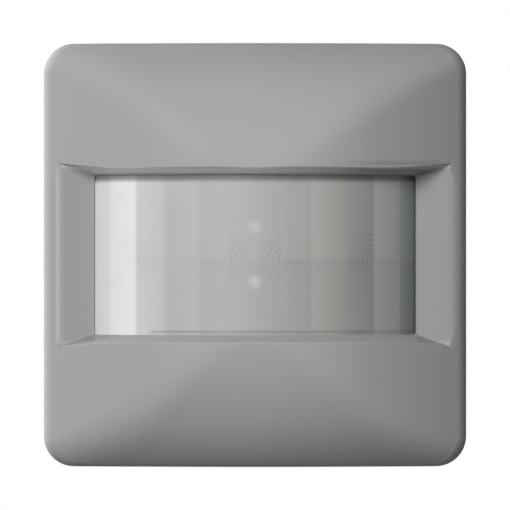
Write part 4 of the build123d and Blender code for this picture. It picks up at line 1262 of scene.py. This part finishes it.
def dress_nodes(finishes: Mapping[str, bpy.types.Material]) -> None:
    """Gives each node of the frame the finish that its packed material is named for.

    Args:
        finishes: The finished materials by slot name.
    """
    for name, node in sorted(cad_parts.items()):
        for place in node.material_slots:
            slot = place.material.name.split(".")[0]
            place.material = finishes[slot]
        LOG.info("node %s takes %s", name, [place.material.name for place in node.material_slots])


def settle(
    piece: bpy.types.Object, finish: bpy.types.Material, body: str, slot: str, *nodes: str
) -> bpy.types.Object:
    """Dresses a piece, puts it on its body and hides the nodes it stands for.

    Args:
        piece: The object.
        finish: Its material.
        body: The body it rides on.
        slot: The record's material slot; it is not used.
        nodes: The nodes it stands for.

    Returns:
        The same object.
    """
    piece.data.materials.append(finish)
    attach(piece, body)
    if nodes:
        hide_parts(*nodes)
    LOG.info("piece %s on %s: %d faces", piece.name, body, len(piece.data.polygons))
    return piece


# Front cover


@dataclass
class CoverShell:
    """The domed square cover: two crossed vaults, a window recess with flared visors and two wings.

    The vault is a crown arc with flatter flanks, and the brow an arc with a shoulder. The visors are
    the recess's upper and lower slopes, the wings its side faces, and the mitres the lines between
    them. Rounds, edges and blends are the sizes over which one surface runs into the next. The seat
    is where the lens lies behind the recess, and the steps are how far the grid's outlines stay on
    either side of its edge. Limits are the shares of a radius at which an arc is held, so that its
    root stays real. Shares, rows and counts set the grid.
    """

    half: float = 31.5
    corner_radius: float = 4.5
    wall: float = 2.0
    skirt_rear: float = 1.7
    rear_chamfer: float = 0.3
    axis_height: float = LENS_AXIS_HEIGHT
    crown_radius: float = 29.599
    crown_half_angle: float = 36.0
    flank_radius: float = 88.0
    flank_limit: float = 0.98
    brow_slope: float = 13.0
    brow_start: float = 13.4
    brow_radius: float = 32.206
    brow_centre: float = 6.155
    brow_axis_height: float = -4.681
    knee_z: float = 24.622
    shoulder_radius: float = 21.301
    shoulder_limit: float = 0.97
    shoulder_centre: float = 12.408
    shoulder_axis_height: float = 4.253
    corner_fall: float = 6.0
    corner_powers: tuple[float, float] = (1.5, 1.2)
    hip_radius: float = 10.0
    least_blend: float = 0.02
    rim_radius: float = 5.2
    rim_band: float = 1.65
    window_x: float = 23.9
    window_z: float = WINDOW_HALF_HEIGHT
    window_corner: float = 0.5
    lens_seat: float = 26.95
    lip: float = 0.18
    visor_angle: float = 23.6
    visor_steepening: float = 0.22
    visor_round: float = 0.45
    wing_round: float = 1.25
    wing_top: float = 13.5
    wing_run_out: float = 1.6
    least_round: float = 0.08
    wing_start: float = 23.75
    wing_height: float = 10.03
    wing_run: float = 5.45
    wing_rise: float = 1.06
    wing_reach: float = 29.0
    mitre_blend: float = 0.35
    seat_half: float = 13.4
    seat_outer_x: float = 28.0
    seat_inner_x: float = 25.2
    seat_corner: float = 0.6
    seat_step_out: float = 0.08
    seat_step_in: float = 0.02
    skin: float = 1.6
    least_wall: float = 0.12
    post_offset: float = 24.5
    post_radius: float = 2.6
    post_edge: float = 0.15
    post_bury: float = 0.4
    post_hole: float = 1.0
    post_rear: float = 6.3
    post_depth: float = 5.0
    post_sides: int = 40
    least_corner: float = 0.6
    probe: float = 0.6
    recess_shares: tuple[float, ...] = (
        *(0.0, 0.03, 0.08, 0.16, 0.28, 0.4, 0.52, 0.62),
        *(0.7, 0.77, 0.83, 0.88, 0.92, 0.95, 0.975),
    )
    face_rows: int = 64
    face_crowding: float = 1.55
    rim_rows: int = 22
    rim_first: float = 0.07
    side_shares: tuple[float, ...] = (0.0, 0.3, 0.6, 0.85, 1.0)
    inner_rows: int = 24
    seat_rows: int = 8
    counts: tuple[int, int, int] = (56, 12, 110)

    def vault(self, x: Grid, inset: float = 0.0) -> Grid:
        """Height of the level vault, whose axis is upright.

        Formula: an arc of the crown's radius about the lens axis up to its half angle, and beyond
        it a flatter arc that starts tangent to it.

        Args:
            x: Distances to the side.
            inset: How far the surface is drawn in along its normal.

        Returns:
            The heights.
        """
        end = math.radians(self.crown_half_angle)
        crown, flank = self.crown_radius - inset, self.flank_radius - inset
        behind = self.crown_radius - self.flank_radius
        across = np.abs(x)
        arc = self.axis_height + np.sqrt(crown**2 - np.minimum(across, crown * math.sin(end)) ** 2)
        over = np.minimum(across - behind * math.sin(end), self.flank_limit * flank)
        side = self.axis_height + behind * math.cos(end) + np.sqrt(flank**2 - over**2)
        return np.where(across < crown * math.sin(end), arc, side)

    def brow(self, z: Grid, inset: float = 0.0) -> Grid:
        """Height of the upright vault, whose axis is level.

        Formula: a straight slope to the brow's start, the brow's arc to the knee, and the
        shoulder's arc from there, each tangent to the last.

        Args:
            z: Distances up or down.
            inset: How far the surface is drawn in along its normal.

        Returns:
            The heights.
        """
        up = np.abs(z)
        brow_radius, shoulder_radius = self.brow_radius - inset, self.shoulder_radius - inset
        slope = math.tan(math.radians(self.brow_slope))
        knee_turn = math.asin((self.knee_z - self.brow_centre) / self.brow_radius)
        start = self.brow_centre + brow_radius * math.sin(math.radians(self.brow_slope))
        knee = self.brow_centre + brow_radius * math.sin(knee_turn)
        over_brow = np.clip(up, start, knee) - self.brow_centre
        last = self.shoulder_centre + self.shoulder_limit * shoulder_radius
        over_shoulder = np.clip(up, knee, last)
        arc = self.brow_axis_height + np.sqrt(brow_radius**2 - over_brow**2)
        foot = np.sqrt(shoulder_radius**2 - (over_shoulder - self.shoulder_centre) ** 2)
        knee_height = self.brow_axis_height + brow_radius * math.cos(knee_turn)
        low = self.shoulder_axis_height + foot
        return np.where(up > knee, np.minimum(low, knee_height), arc) + np.maximum(start - up, 0.0) * slope

    def dome(self, x: Grid, z: Grid, inset: float = 0.0) -> Grid:
        """Height of both vaults together, with their hips rounded.

        Formula: soft_min of the vaults with the blend r (a^2 + b^2) / (2 (1 + s^2)^1.5), where r is
        the hip's radius, a and b are the slopes of the two, and s is the hip's own slope. The brow
        falls towards the corners by f u^p v^q, with u and v its shares of the way out and p and q
        the corner powers.

        Args:
            x: Distances to the side.
            z: Distances up or down.
            inset: How far the surface is drawn in along its normal.

        Returns:
            The heights.
        """
        step = 0.05
        a = (self.vault(np.abs(x)) - self.vault(np.abs(x) + step)) / step
        b = (self.brow(np.abs(z)) - self.brow(np.abs(z) + step)) / step
        square = a * a + b * b + 1e-6
        lean = (a * b) ** 2 / square + (b * b - a * a) ** 2 / (4.0 * square)
        radius = self.hip_radius - inset
        blend = np.maximum(radius * square / (2.0 * (1.0 + lean) ** 1.5), self.least_blend)
        out = np.abs(x) / self.half
        up = np.clip((np.abs(z) - self.brow_start) / (self.half - self.brow_start), 0.0, 1.0)
        fall = self.corner_fall * out ** self.corner_powers[0] * up ** self.corner_powers[1]
        return soft_min(self.vault(x, inset), self.brow(z, inset) - fall, blend)

    def flare(self, x: Grid) -> Grid:
        """How far the visors run up or down for each millimetre of height, less so at the sides.

        Formula: tan(visor angle) (1 - k (|x| / reach)^3), with k the steepening.
        """
        share = np.minimum(np.abs(x) / self.wing_reach, 1.0)
        return math.tan(math.radians(self.visor_angle)) * (1.0 - self.visor_steepening * share**3)

    def visor(self, x: Grid, z: Grid) -> Grid:
        """Height of the visors, parts of a cone about the lens axis that opens towards the viewer."""
        radius = self.lens_seat + self.lip + np.maximum(np.abs(z) - self.window_z, 0.0) / self.flare(x)
        return self.axis_height + np.sqrt(np.maximum(radius**2 - x**2, 0.0))

    def wing(self, x: Grid) -> Grid:
        """Height of the wings, planes that rise outwards from the window's ends."""
        return self.wing_height + self.wing_rise * (np.abs(x) - self.wing_start) / self.wing_run

    def front(self, x: Grid, z: Grid) -> Grid:
        """Height of the visible face.

        Formula: the dome cut by the visor and the dome cut by the wing, each a soft_min with its own
        rounding, and of these two the higher. The wing's rounding and the mitre's blend shrink
        where the recess runs out.

        Args:
            x: Distances to the side.
            z: Distances up or down.

        Returns:
            The heights.
        """
        dome, visor, wing = self.dome(x, z), self.visor(x, z), self.wing(x)
        depth = dome - np.maximum(visor, wing)
        blend = self.mitre_blend * np.clip(depth, 0.01, 1.0)
        cut_by_visor = soft_min(dome, visor, self.visor_round)
        run_out = np.clip((self.wing_top - np.abs(z)) / self.wing_run_out, self.least_round, 1.0)
        cut_by_wing = soft_min(dome, wing, self.wing_round * run_out)
        inside = soft_max(cut_by_visor, cut_by_wing, blend)
        return np.where(depth > 0.0, inside, np.maximum(cut_by_visor, cut_by_wing))

    def back(self, x: Grid, z: Grid) -> Grid:
        """Height of the inner face.

        Formula: the lower of the dome drawn in by the wall and the recess drawn in by its skin, and
        always below the visible face by the least wall.

        Args:
            x: Distances to the side.
            z: Distances up or down.

        Returns:
            The heights.
        """
        beyond = np.maximum(np.abs(z) - self.seat_half, 0.0) / math.tan(math.radians(self.visor_angle))
        seat = self.axis_height + np.sqrt(np.maximum((self.lens_seat + beyond) ** 2 - x**2, 0.0))
        lowered = self.skin / math.cos(math.atan(self.wing_rise / self.wing_run))
        wing = self.wing(x) - lowered
        inner = np.minimum(self.dome(x, z, self.wall), np.maximum(seat, wing))
        return np.minimum(inner, self.front(x, z) - self.least_wall)

    def recess_edge(self) -> Grid:
        """Plan outline of the recess's front edge.

        Formula: for each x the height z at which the visor's cone meets the dome, found by
        putting the dome's height into the cone's equation until it stays the same.

        Returns:
            Array of points by 2.
        """

        def edge(x: Grid) -> Grid:
            """The edge's height over x."""
            z = np.full_like(x, self.seat_half)
            for _ in range(30):
                away = np.sqrt((self.dome(x, z) - self.axis_height) ** 2 + x**2)
                z = self.window_z + self.flare(x) * (away - self.lens_seat - self.lip)
            return z

        corner = float(edge(np.array([self.wing_reach]))[0])
        outline = rounded_outline(self.wing_reach, corner, self.window_corner, self.counts)
        outline[:, 1] *= edge(outline[:, 0]) / corner
        return outline

    def offset_outline(self, inset: float) -> Grid:
        """Plan outline of the cover drawn in by an inset, as an array of points by 2."""
        half = self.half - inset
        radius = max(self.corner_radius - inset, self.least_corner)
        return rounded_outline(half, half, radius, self.counts)

    def rim_heights(self, inset: float) -> Grid:
        """Heights of the rounded rim at an inset from the outline.

        Formula: with s the face's slope at the outline and h0 its height there, the rim's circle
        has its centre at h0 + s r - r sqrt(1 + s^2), and is used until it touches the face.

        Args:
            inset: Distance from the outline.

        Returns:
            One height for each point of the outline.
        """
        outer, inner = self.offset_outline(0.0), self.offset_outline(self.probe)
        foot = self.front(outer[:, 0], outer[:, 1])
        slope = (self.front(inner[:, 0], inner[:, 1]) - foot) / self.probe
        r = self.rim_radius
        centre = foot + slope * r - r * np.sqrt(1.0 + slope**2)
        touch = r * (1.0 - slope / np.sqrt(1.0 + slope**2))
        here = self.offset_outline(inset)
        face = self.front(here[:, 0], here[:, 1])
        return np.where(inset < touch, centre + math.sqrt(max(r**2 - (r - inset) ** 2, 0.0)), face)

    def shell(self) -> Sheet:
        """The whole skin as one closed ring round the window.

        Formula: each row is a plan outline between two outlines, lifted to the face's height; the
        rows run over the recess, the face, the rim, the side, the rear edge and back inside.

        Returns:
            The sheet, closed both ways.
        """
        window = rounded_outline(self.window_x, self.window_z, self.window_corner, self.counts)
        edge = self.recess_edge()
        band = self.offset_outline(self.rim_band)
        outer, inner = self.offset_outline(0.0), self.offset_outline(self.wall)
        rows: list[Grid] = []

        def lift(plan: Grid, height: Grid | float) -> None:
            """Adds one row."""
            rows.append(raised(plan[:, 0], height, plan[:, 1]))

        def span(start: Grid, end: Grid, shares: Iterable[float], surface: Callable[..., Grid]) -> None:
            """Adds rows between two outlines, lifted to a surface."""
            for share in shares:
                plan = start + (end - start) * share
                lift(plan, surface(plan[:, 0], plan[:, 1]))

        span(window, edge, self.recess_shares, self.front)
        crowded = np.linspace(0.0, 1.0, self.face_rows, endpoint=False) ** self.face_crowding
        span(edge, band, crowded, self.front)
        for inset in np.linspace(1.0, self.rim_first, self.rim_rows) ** 2 * self.rim_band:
            lift(self.offset_outline(float(inset)), self.rim_heights(float(inset)))
        top, rear = self.rim_heights(0.0), self.skirt_rear + self.rear_chamfer
        for share in self.side_shares:
            lift(outer, top + (rear - top) * share)
        lift(self.offset_outline(self.rear_chamfer), self.skirt_rear)
        lift(self.offset_outline(self.wall - self.rear_chamfer), self.skirt_rear)
        ceiling = self.back(inner[:, 0], inner[:, 1])
        for share in (0.0, 0.5, 1.0):
            lift(inner, rear + (ceiling - rear) * share)
        above, below = self.seat_half + self.seat_step_out, self.seat_half - self.seat_step_in
        outside = rounded_outline(self.seat_outer_x, above, self.seat_corner, self.counts)
        inside = rounded_outline(self.seat_inner_x, below, self.seat_corner, self.counts)
        span(inner, outside, np.linspace(0.0, 1.0, self.inner_rows)[1:], self.back)
        span(inside, window, np.linspace(0.0, 1.0, self.seat_rows), self.back)
        return Sheet(np.array(rows), closed_rows=True, closed_columns=True)

    def post(self, side_x: int, side_z: int) -> Sheet:
        """One screw post: a turned tube whose top follows the inner face.

        Args:
            side_x: -1 for left, 1 for right.
            side_z: -1 for below, 1 for above.

        Returns:
            The sheet, closed at both poles.
        """
        low, r, hole, e = self.post_rear, self.post_radius, self.post_hole, self.post_edge
        deep = low + self.post_depth
        profile = [(0.0, deep), (hole, deep), (hole, low + e), (hole + e, low), (r - e, low), (r, low + e)]
        profile += [(r, deep), (0.0, deep)]
        centre = (side_x * self.post_offset, side_z * self.post_offset)
        points = turned(profile, centre, self.post_sides)
        top = points[-2:]
        top[..., 1] = -(self.back(top[..., 0], top[..., 2]) + self.post_bury)
        return Sheet(points, closed_columns=True)

    def build(self, finish: bpy.types.Material) -> bpy.types.Object:
        """The cover as a piece that stands for its node.

        Args:
            finish: Its material.

        Returns:
            The object.
        """
        sheets = [self.shell()] + [self.post(sx, sz) for sx in (-1, 1) for sz in (-1, 1)]
        piece = sheet_object("cover_shell", sheets, sharp_angle=50.0)
        return settle(piece, finish, "sensor_head", "cover_plastic", "front_cover")


# Lens


@dataclass
class LensSheet:
    """The curved Fresnel lens, an arc of sheet about the upright lens axis."""

    axis_height: float = LENS_AXIS_HEIGHT
    outer_radius: float = 26.9
    thickness: float = 0.7
    half_height: float = 13.2
    reach: float = 64.5
    window_angle: float = WINDOW_HALF_ANGLE
    window_half: float = LENS_HALF_SHOWN
    edge_round: float = 0.12
    columns: int = 240
    rows: int = 60

    def build(self, finish: bpy.types.Material) -> bpy.types.Object:
        """The lens as a piece that stands for its node.

        Formula: a closed section in radius and z, carried round the axis: x = r sin a,
        h = axis + r cos a. Both ends close on the section's middle.

        Args:
            finish: Its material.

        Returns:
            The object.
        """
        outer, inner = self.outer_radius, self.outer_radius - self.thickness
        e, top = self.edge_round, self.half_height
        long = np.linspace(-(top - e), top - e, self.rows)
        faces = [np.full(self.rows, radius) for radius in (outer, inner)]
        radius = np.concatenate([faces[0], [outer - e, inner + e], faces[1], [inner + e, outer - e]])
        height = np.concatenate([long, [top, top], long[::-1], [-top, -top]])
        angle = np.radians(np.linspace(-self.reach, self.reach, self.columns))
        angles = np.concatenate([angle[:1], angle, angle[-1:]])[:, None]
        shares = np.concatenate([[0.0], np.ones(self.columns), [0.0]])[:, None]
        middle = (outer + inner) / 2
        r = middle + (radius - middle) * shares
        z = height * shares
        points = raised(r * np.sin(angles), self.axis_height + r * np.cos(angles), z)
        u = np.broadcast_to(0.5 + np.degrees(angles) / (2.0 * self.window_angle), z.shape)
        uv = np.stack([u, 0.5 + z / (2.0 * self.window_half)], axis=-1)
        sheet = Sheet(points, closed_columns=True, uv=uv)
        piece = sheet_object("lens_sheet", [sheet], sharp_angle=50.0)
        return settle(piece, finish, "sensor_head", "lens_plastic", "fresnel_lens")


# Claw screws


@dataclass
class ClawScrew:
    """A slotted screw with a rolled right-hand thread, which spreads one claw."""

    side: int
    offset: float = 25.2
    radius: float = 1.5
    tip: float = -12.0
    tip_chamfer: float = 0.4
    pitch: float = 0.5
    thread_depth: float = 0.27
    neck: float = 1.1
    head_seat: float = 1.3
    head_height: float = 1.2
    head_radius: float = 2.4
    slot_width: float = 0.8
    slot_depth: float = 0.6
    edge: float = 0.14
    bury: float = 0.2
    groove_level: float = 1.2
    groove_slope: float = 1.4
    sides: int = 36
    rows_per_turn: int = 9
    arc_points: int = 25
    chord_points: int = 7

    def shank(self) -> Sheet:
        """The threaded rod, closed at both ends on its axis.

        Formula: t is the fractional part of h / pitch - a / (2 pi), so a crest climbs one pitch for
        each turn. The radius is the crest's less depth * (level - slope |2 t - 1|) held between 0
        and the depth, which gives flat crests and roots, and no more than the tip's chamfer allows.

        Returns:
            The sheet.
        """
        top = self.head_seat + self.bury
        count = round((top - self.tip) / self.pitch * self.rows_per_turn)
        height = np.linspace(self.tip, top, count)
        angle = np.linspace(0.0, 2.0 * math.pi, self.sides, endpoint=False)
        h, a = np.meshgrid(height, angle, indexing="ij")
        turn = (h / self.pitch - a / (2.0 * math.pi)) % 1.0
        groove = np.clip(self.groove_level - self.groove_slope * np.abs(2.0 * turn - 1.0), 0.0, 1.0)
        groove *= np.clip((self.head_seat - self.neck - h) / self.pitch, 0.0, 1.0)
        chamfered = self.radius - self.tip_chamfer + h - self.tip
        r = np.minimum(self.radius - self.thread_depth * groove, chamfered)
        ends = np.zeros((1, self.sides))
        r = np.concatenate([ends, r, ends])
        h = np.concatenate([h[:1], h, h[-1:]])
        x = self.side * self.offset + r * np.cos(angle)
        return Sheet(raised(x, h, r * np.sin(angle)), closed_columns=True)

    def head(self) -> list[Sheet]:
        """A disc and the two lands that stand beside the slot.

        Formula: a land's plan is the circle's segment beyond the slot's side, and its rows shrink
        towards a point inside it, with a small chamfer round the top.

        Returns:
            Three closed sheets, which reach into each other.
        """
        centre = (self.side * self.offset, 0.0)
        low, e, full = self.head_seat, self.edge, self.head_radius
        floor, top = low + self.head_height - self.slot_depth, low + self.head_height
        profile = [(0.0, low), (full - e, low), (full, low + e), (full, floor), (0.0, floor)]
        sheets = [Sheet(turned(profile, centre, self.sides), closed_columns=True)]
        half = self.slot_width / 2.0
        reach = math.acos(half / full)
        arc = np.linspace(-reach, reach, self.arc_points)
        chord = np.linspace(1.0, -1.0, self.chord_points + 2)[1:-1] * math.sin(reach) * full
        x = np.concatenate([full * np.cos(arc), np.full(self.chord_points, half)])
        z = np.concatenate([full * np.sin(arc), chord])
        heart = (full + half) / 2.0
        base = floor - self.bury
        rings = ((0.0, base), (1.0, base), (1.0, top - e), (1.0 - e, top), (0.0, top))
        for sign in (-1, 1):
            rows = [raised(centre[0] + sign * (heart + (x - heart) * s), h, z * s) for s, h in rings]
            sheets.append(Sheet(np.array(rows), closed_columns=True))
        return sheets

    def build(self, finish: bpy.types.Material) -> bpy.types.Object:
        """The screw as a piece that stands for its node.

        Args:
            finish: Its material.

        Returns:
            The object.
        """
        word = "left" if self.side < 0 else "right"
        sheets = [self.shank(), *self.head()]
        piece = sheet_object(f"threaded_screw_{word}", sheets, sharp_angle=32.0)
        return settle(piece, finish, f"claw_screw_{word}_body", "screw_steel", f"claw_screw_{word}")


# Camera, lamps, floor and world


@dataclass(frozen=True)
class Lamp:
    """A square soft light that looks at the object.

    Attributes:
        name: Its name.
        direction: Where it stands, seen from the object.
        distance: How far away, in metres.
        level: The level at which it lights a surface that faces it, 1 for white shown as white.
        size: Its edge, in metres.
        colour: Its colour.
    """

    name: str
    direction: Place
    distance: float
    level: float
    size: float
    colour: Colour = WHITE

    def place(self, aim: Vector) -> None:
        """Makes the lamp. Its power is level * pi^2 * distance^2, which a far square light needs.

        Args:
            aim: Where it looks, in metres.
        """
        data = bpy.data.lights.new(self.name, "AREA")
        data.shape = "SQUARE"
        data.size = self.size
        data.energy = self.level * math.pi**2 * self.distance**2
        data.color = self.colour
        lamp = linked(self.name, data)
        lamp.location = aim + Vector(self.direction).normalized() * self.distance
        lamp.rotation_mode = "QUATERNION"
        lamp.rotation_quaternion = (aim - lamp.location).to_track_quat("-Z", "Y")
        lamp.visible_camera = False


@dataclass
class Studio:
    """Camera, lamps, floor and world of the picture, in metres.

    Attributes:
        camera_distance: How far in front of the wall's plane the camera stands.
        view_width: What the picture spans at the view depth.
        view_depth: How far in front of the wall's plane that width is measured.
        sensor: The camera's sensor width, in millimetres.
        aim: Where the lamps look.
        floor_drop: How far below the object's middle the floor lies.
        floor_reach: How far it reaches to each side.
        ambient: Strength of the world's even light.
        floor_pale: The floor's colour where it is seen.
        floor_show: The light that it shows besides, so that it looks white.
        floor_bounce: The colour by which it throws light back.
        lamps: The lamps.
    """

    camera_distance: float = 1.5
    view_width: float = 0.0759
    view_depth: float = 0.010
    sensor: float = 36.0
    aim: Place = (0.0, -0.012, 0.0)
    floor_drop: float = 0.13
    floor_reach: float = 3.0
    ambient: float = 0.05
    floor_pale: Colour = (0.34, 0.34, 0.34)
    floor_show: Colour = (0.60, 0.60, 0.60)
    floor_bounce: Colour = (0.15, 0.15, 0.15)
    lamps: tuple[Lamp, ...] = (
        Lamp("key", (-0.25, -0.91, 0.326), 0.75, 0.945, 0.30),
        Lamp("under_fill", (0.0, -0.60, -0.80), 0.9, 0.105, 0.5),
        Lamp("right_fill", (0.62, -0.42, 0.66), 0.9, 0.055, 0.4),
        Lamp("rear", (-0.69, 0.70, 0.30), 1.0, 1.75, 0.6),
    )

    def camera(self) -> None:
        """A long lens in front of the middle of the cover.

        Formula: focal length = sensor * distance to the rim's plane / width seen there.
        """
        data = bpy.data.cameras.new("camera")
        data.sensor_width = self.sensor
        data.lens = self.sensor * (self.camera_distance - self.view_depth) / self.view_width
        data.clip_start, data.clip_end = 0.1, 20.0
        camera = linked("camera", data)
        camera.location = (0.0, -self.camera_distance, 0.0)
        camera.rotation_euler = (math.pi / 2, 0.0, 0.0)
        bpy.context.scene.camera = camera

    def floor(self) -> None:
        """A wide pale floor well below the object, which shows more light than it throws back."""
        line = np.linspace(-self.floor_reach, self.floor_reach, 9)
        x, y = np.meshgrid(line, line, indexing="ij")
        points = np.stack([x, y, np.full_like(x, -self.floor_drop)], -1).reshape(-1, 3)
        mesh = bpy.data.meshes.new("floor")
        mesh.from_pydata(points.tolist(), [], grid_quads(*x.shape).tolist())
        g = SurfaceGraph("floor_paper")
        seen = g.shown()
        paper = g.mix(g.noise(0.02), shade(self.floor_pale, 0.98), shade(self.floor_pale, 1.02))
        g.set(
            Base_Color=g.mix(seen, self.floor_bounce, paper),
            Roughness=0.9,
            Emission_Color=g.mix(seen, BLACK, self.floor_show),
            Emission_Strength=1.0,
        )
        mesh.materials.append(g.material)
        linked("floor", mesh)

    def world(self) -> None:
        """White to the camera and in reflections, and a low even light for everything else."""
        world = bpy.data.worlds.new("surround")
        world.use_nodes = True
        g = Graph(world.node_tree)
        plain = g.node("ShaderNodeBackground", {}, {"Color": WHITE, "Strength": self.ambient})
        white = g.node("ShaderNodeBackground", {}, {"Color": WHITE, "Strength": 1.0})
        pick = g.node("ShaderNodeMixShader", {}, {0: g.shown(), 1: plain.outputs[0], 2: white.outputs[0]})
        g.node("ShaderNodeOutputWorld", {}, {"Surface": pick.outputs[0]})
        bpy.context.scene.world = world

    def build(self) -> None:
        """Sets up everything round the object."""
        self.camera()
        self.floor()
        self.world()
        for lamp in self.lamps:
            lamp.place(Vector(self.aim))
        bpy.context.scene.view_settings.view_transform = "Standard"


def corners(box: tuple[Vector, Vector]) -> list[list[float]]:
    """A box as plain lists."""
    return [list(box[0]), list(box[1])]


def main() -> None:
    """Builds the sub-assemblies in order."""
    logging.basicConfig(level=logging.INFO, format="%(name)s: %(message)s")
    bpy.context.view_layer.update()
    Studio().build()
    finishes = {slot: finish.build(slot + "_finish") for slot, finish in FINISHES.items()}
    dress_nodes(finishes)
    CoverShell().build(finishes["cover_plastic"])
    LensSheet().build(finishes["lens_plastic"])
    for side in (-1, 1):
        ClawScrew(side).build(finishes["screw_steel"])


if __name__ == "__main__":
    main()
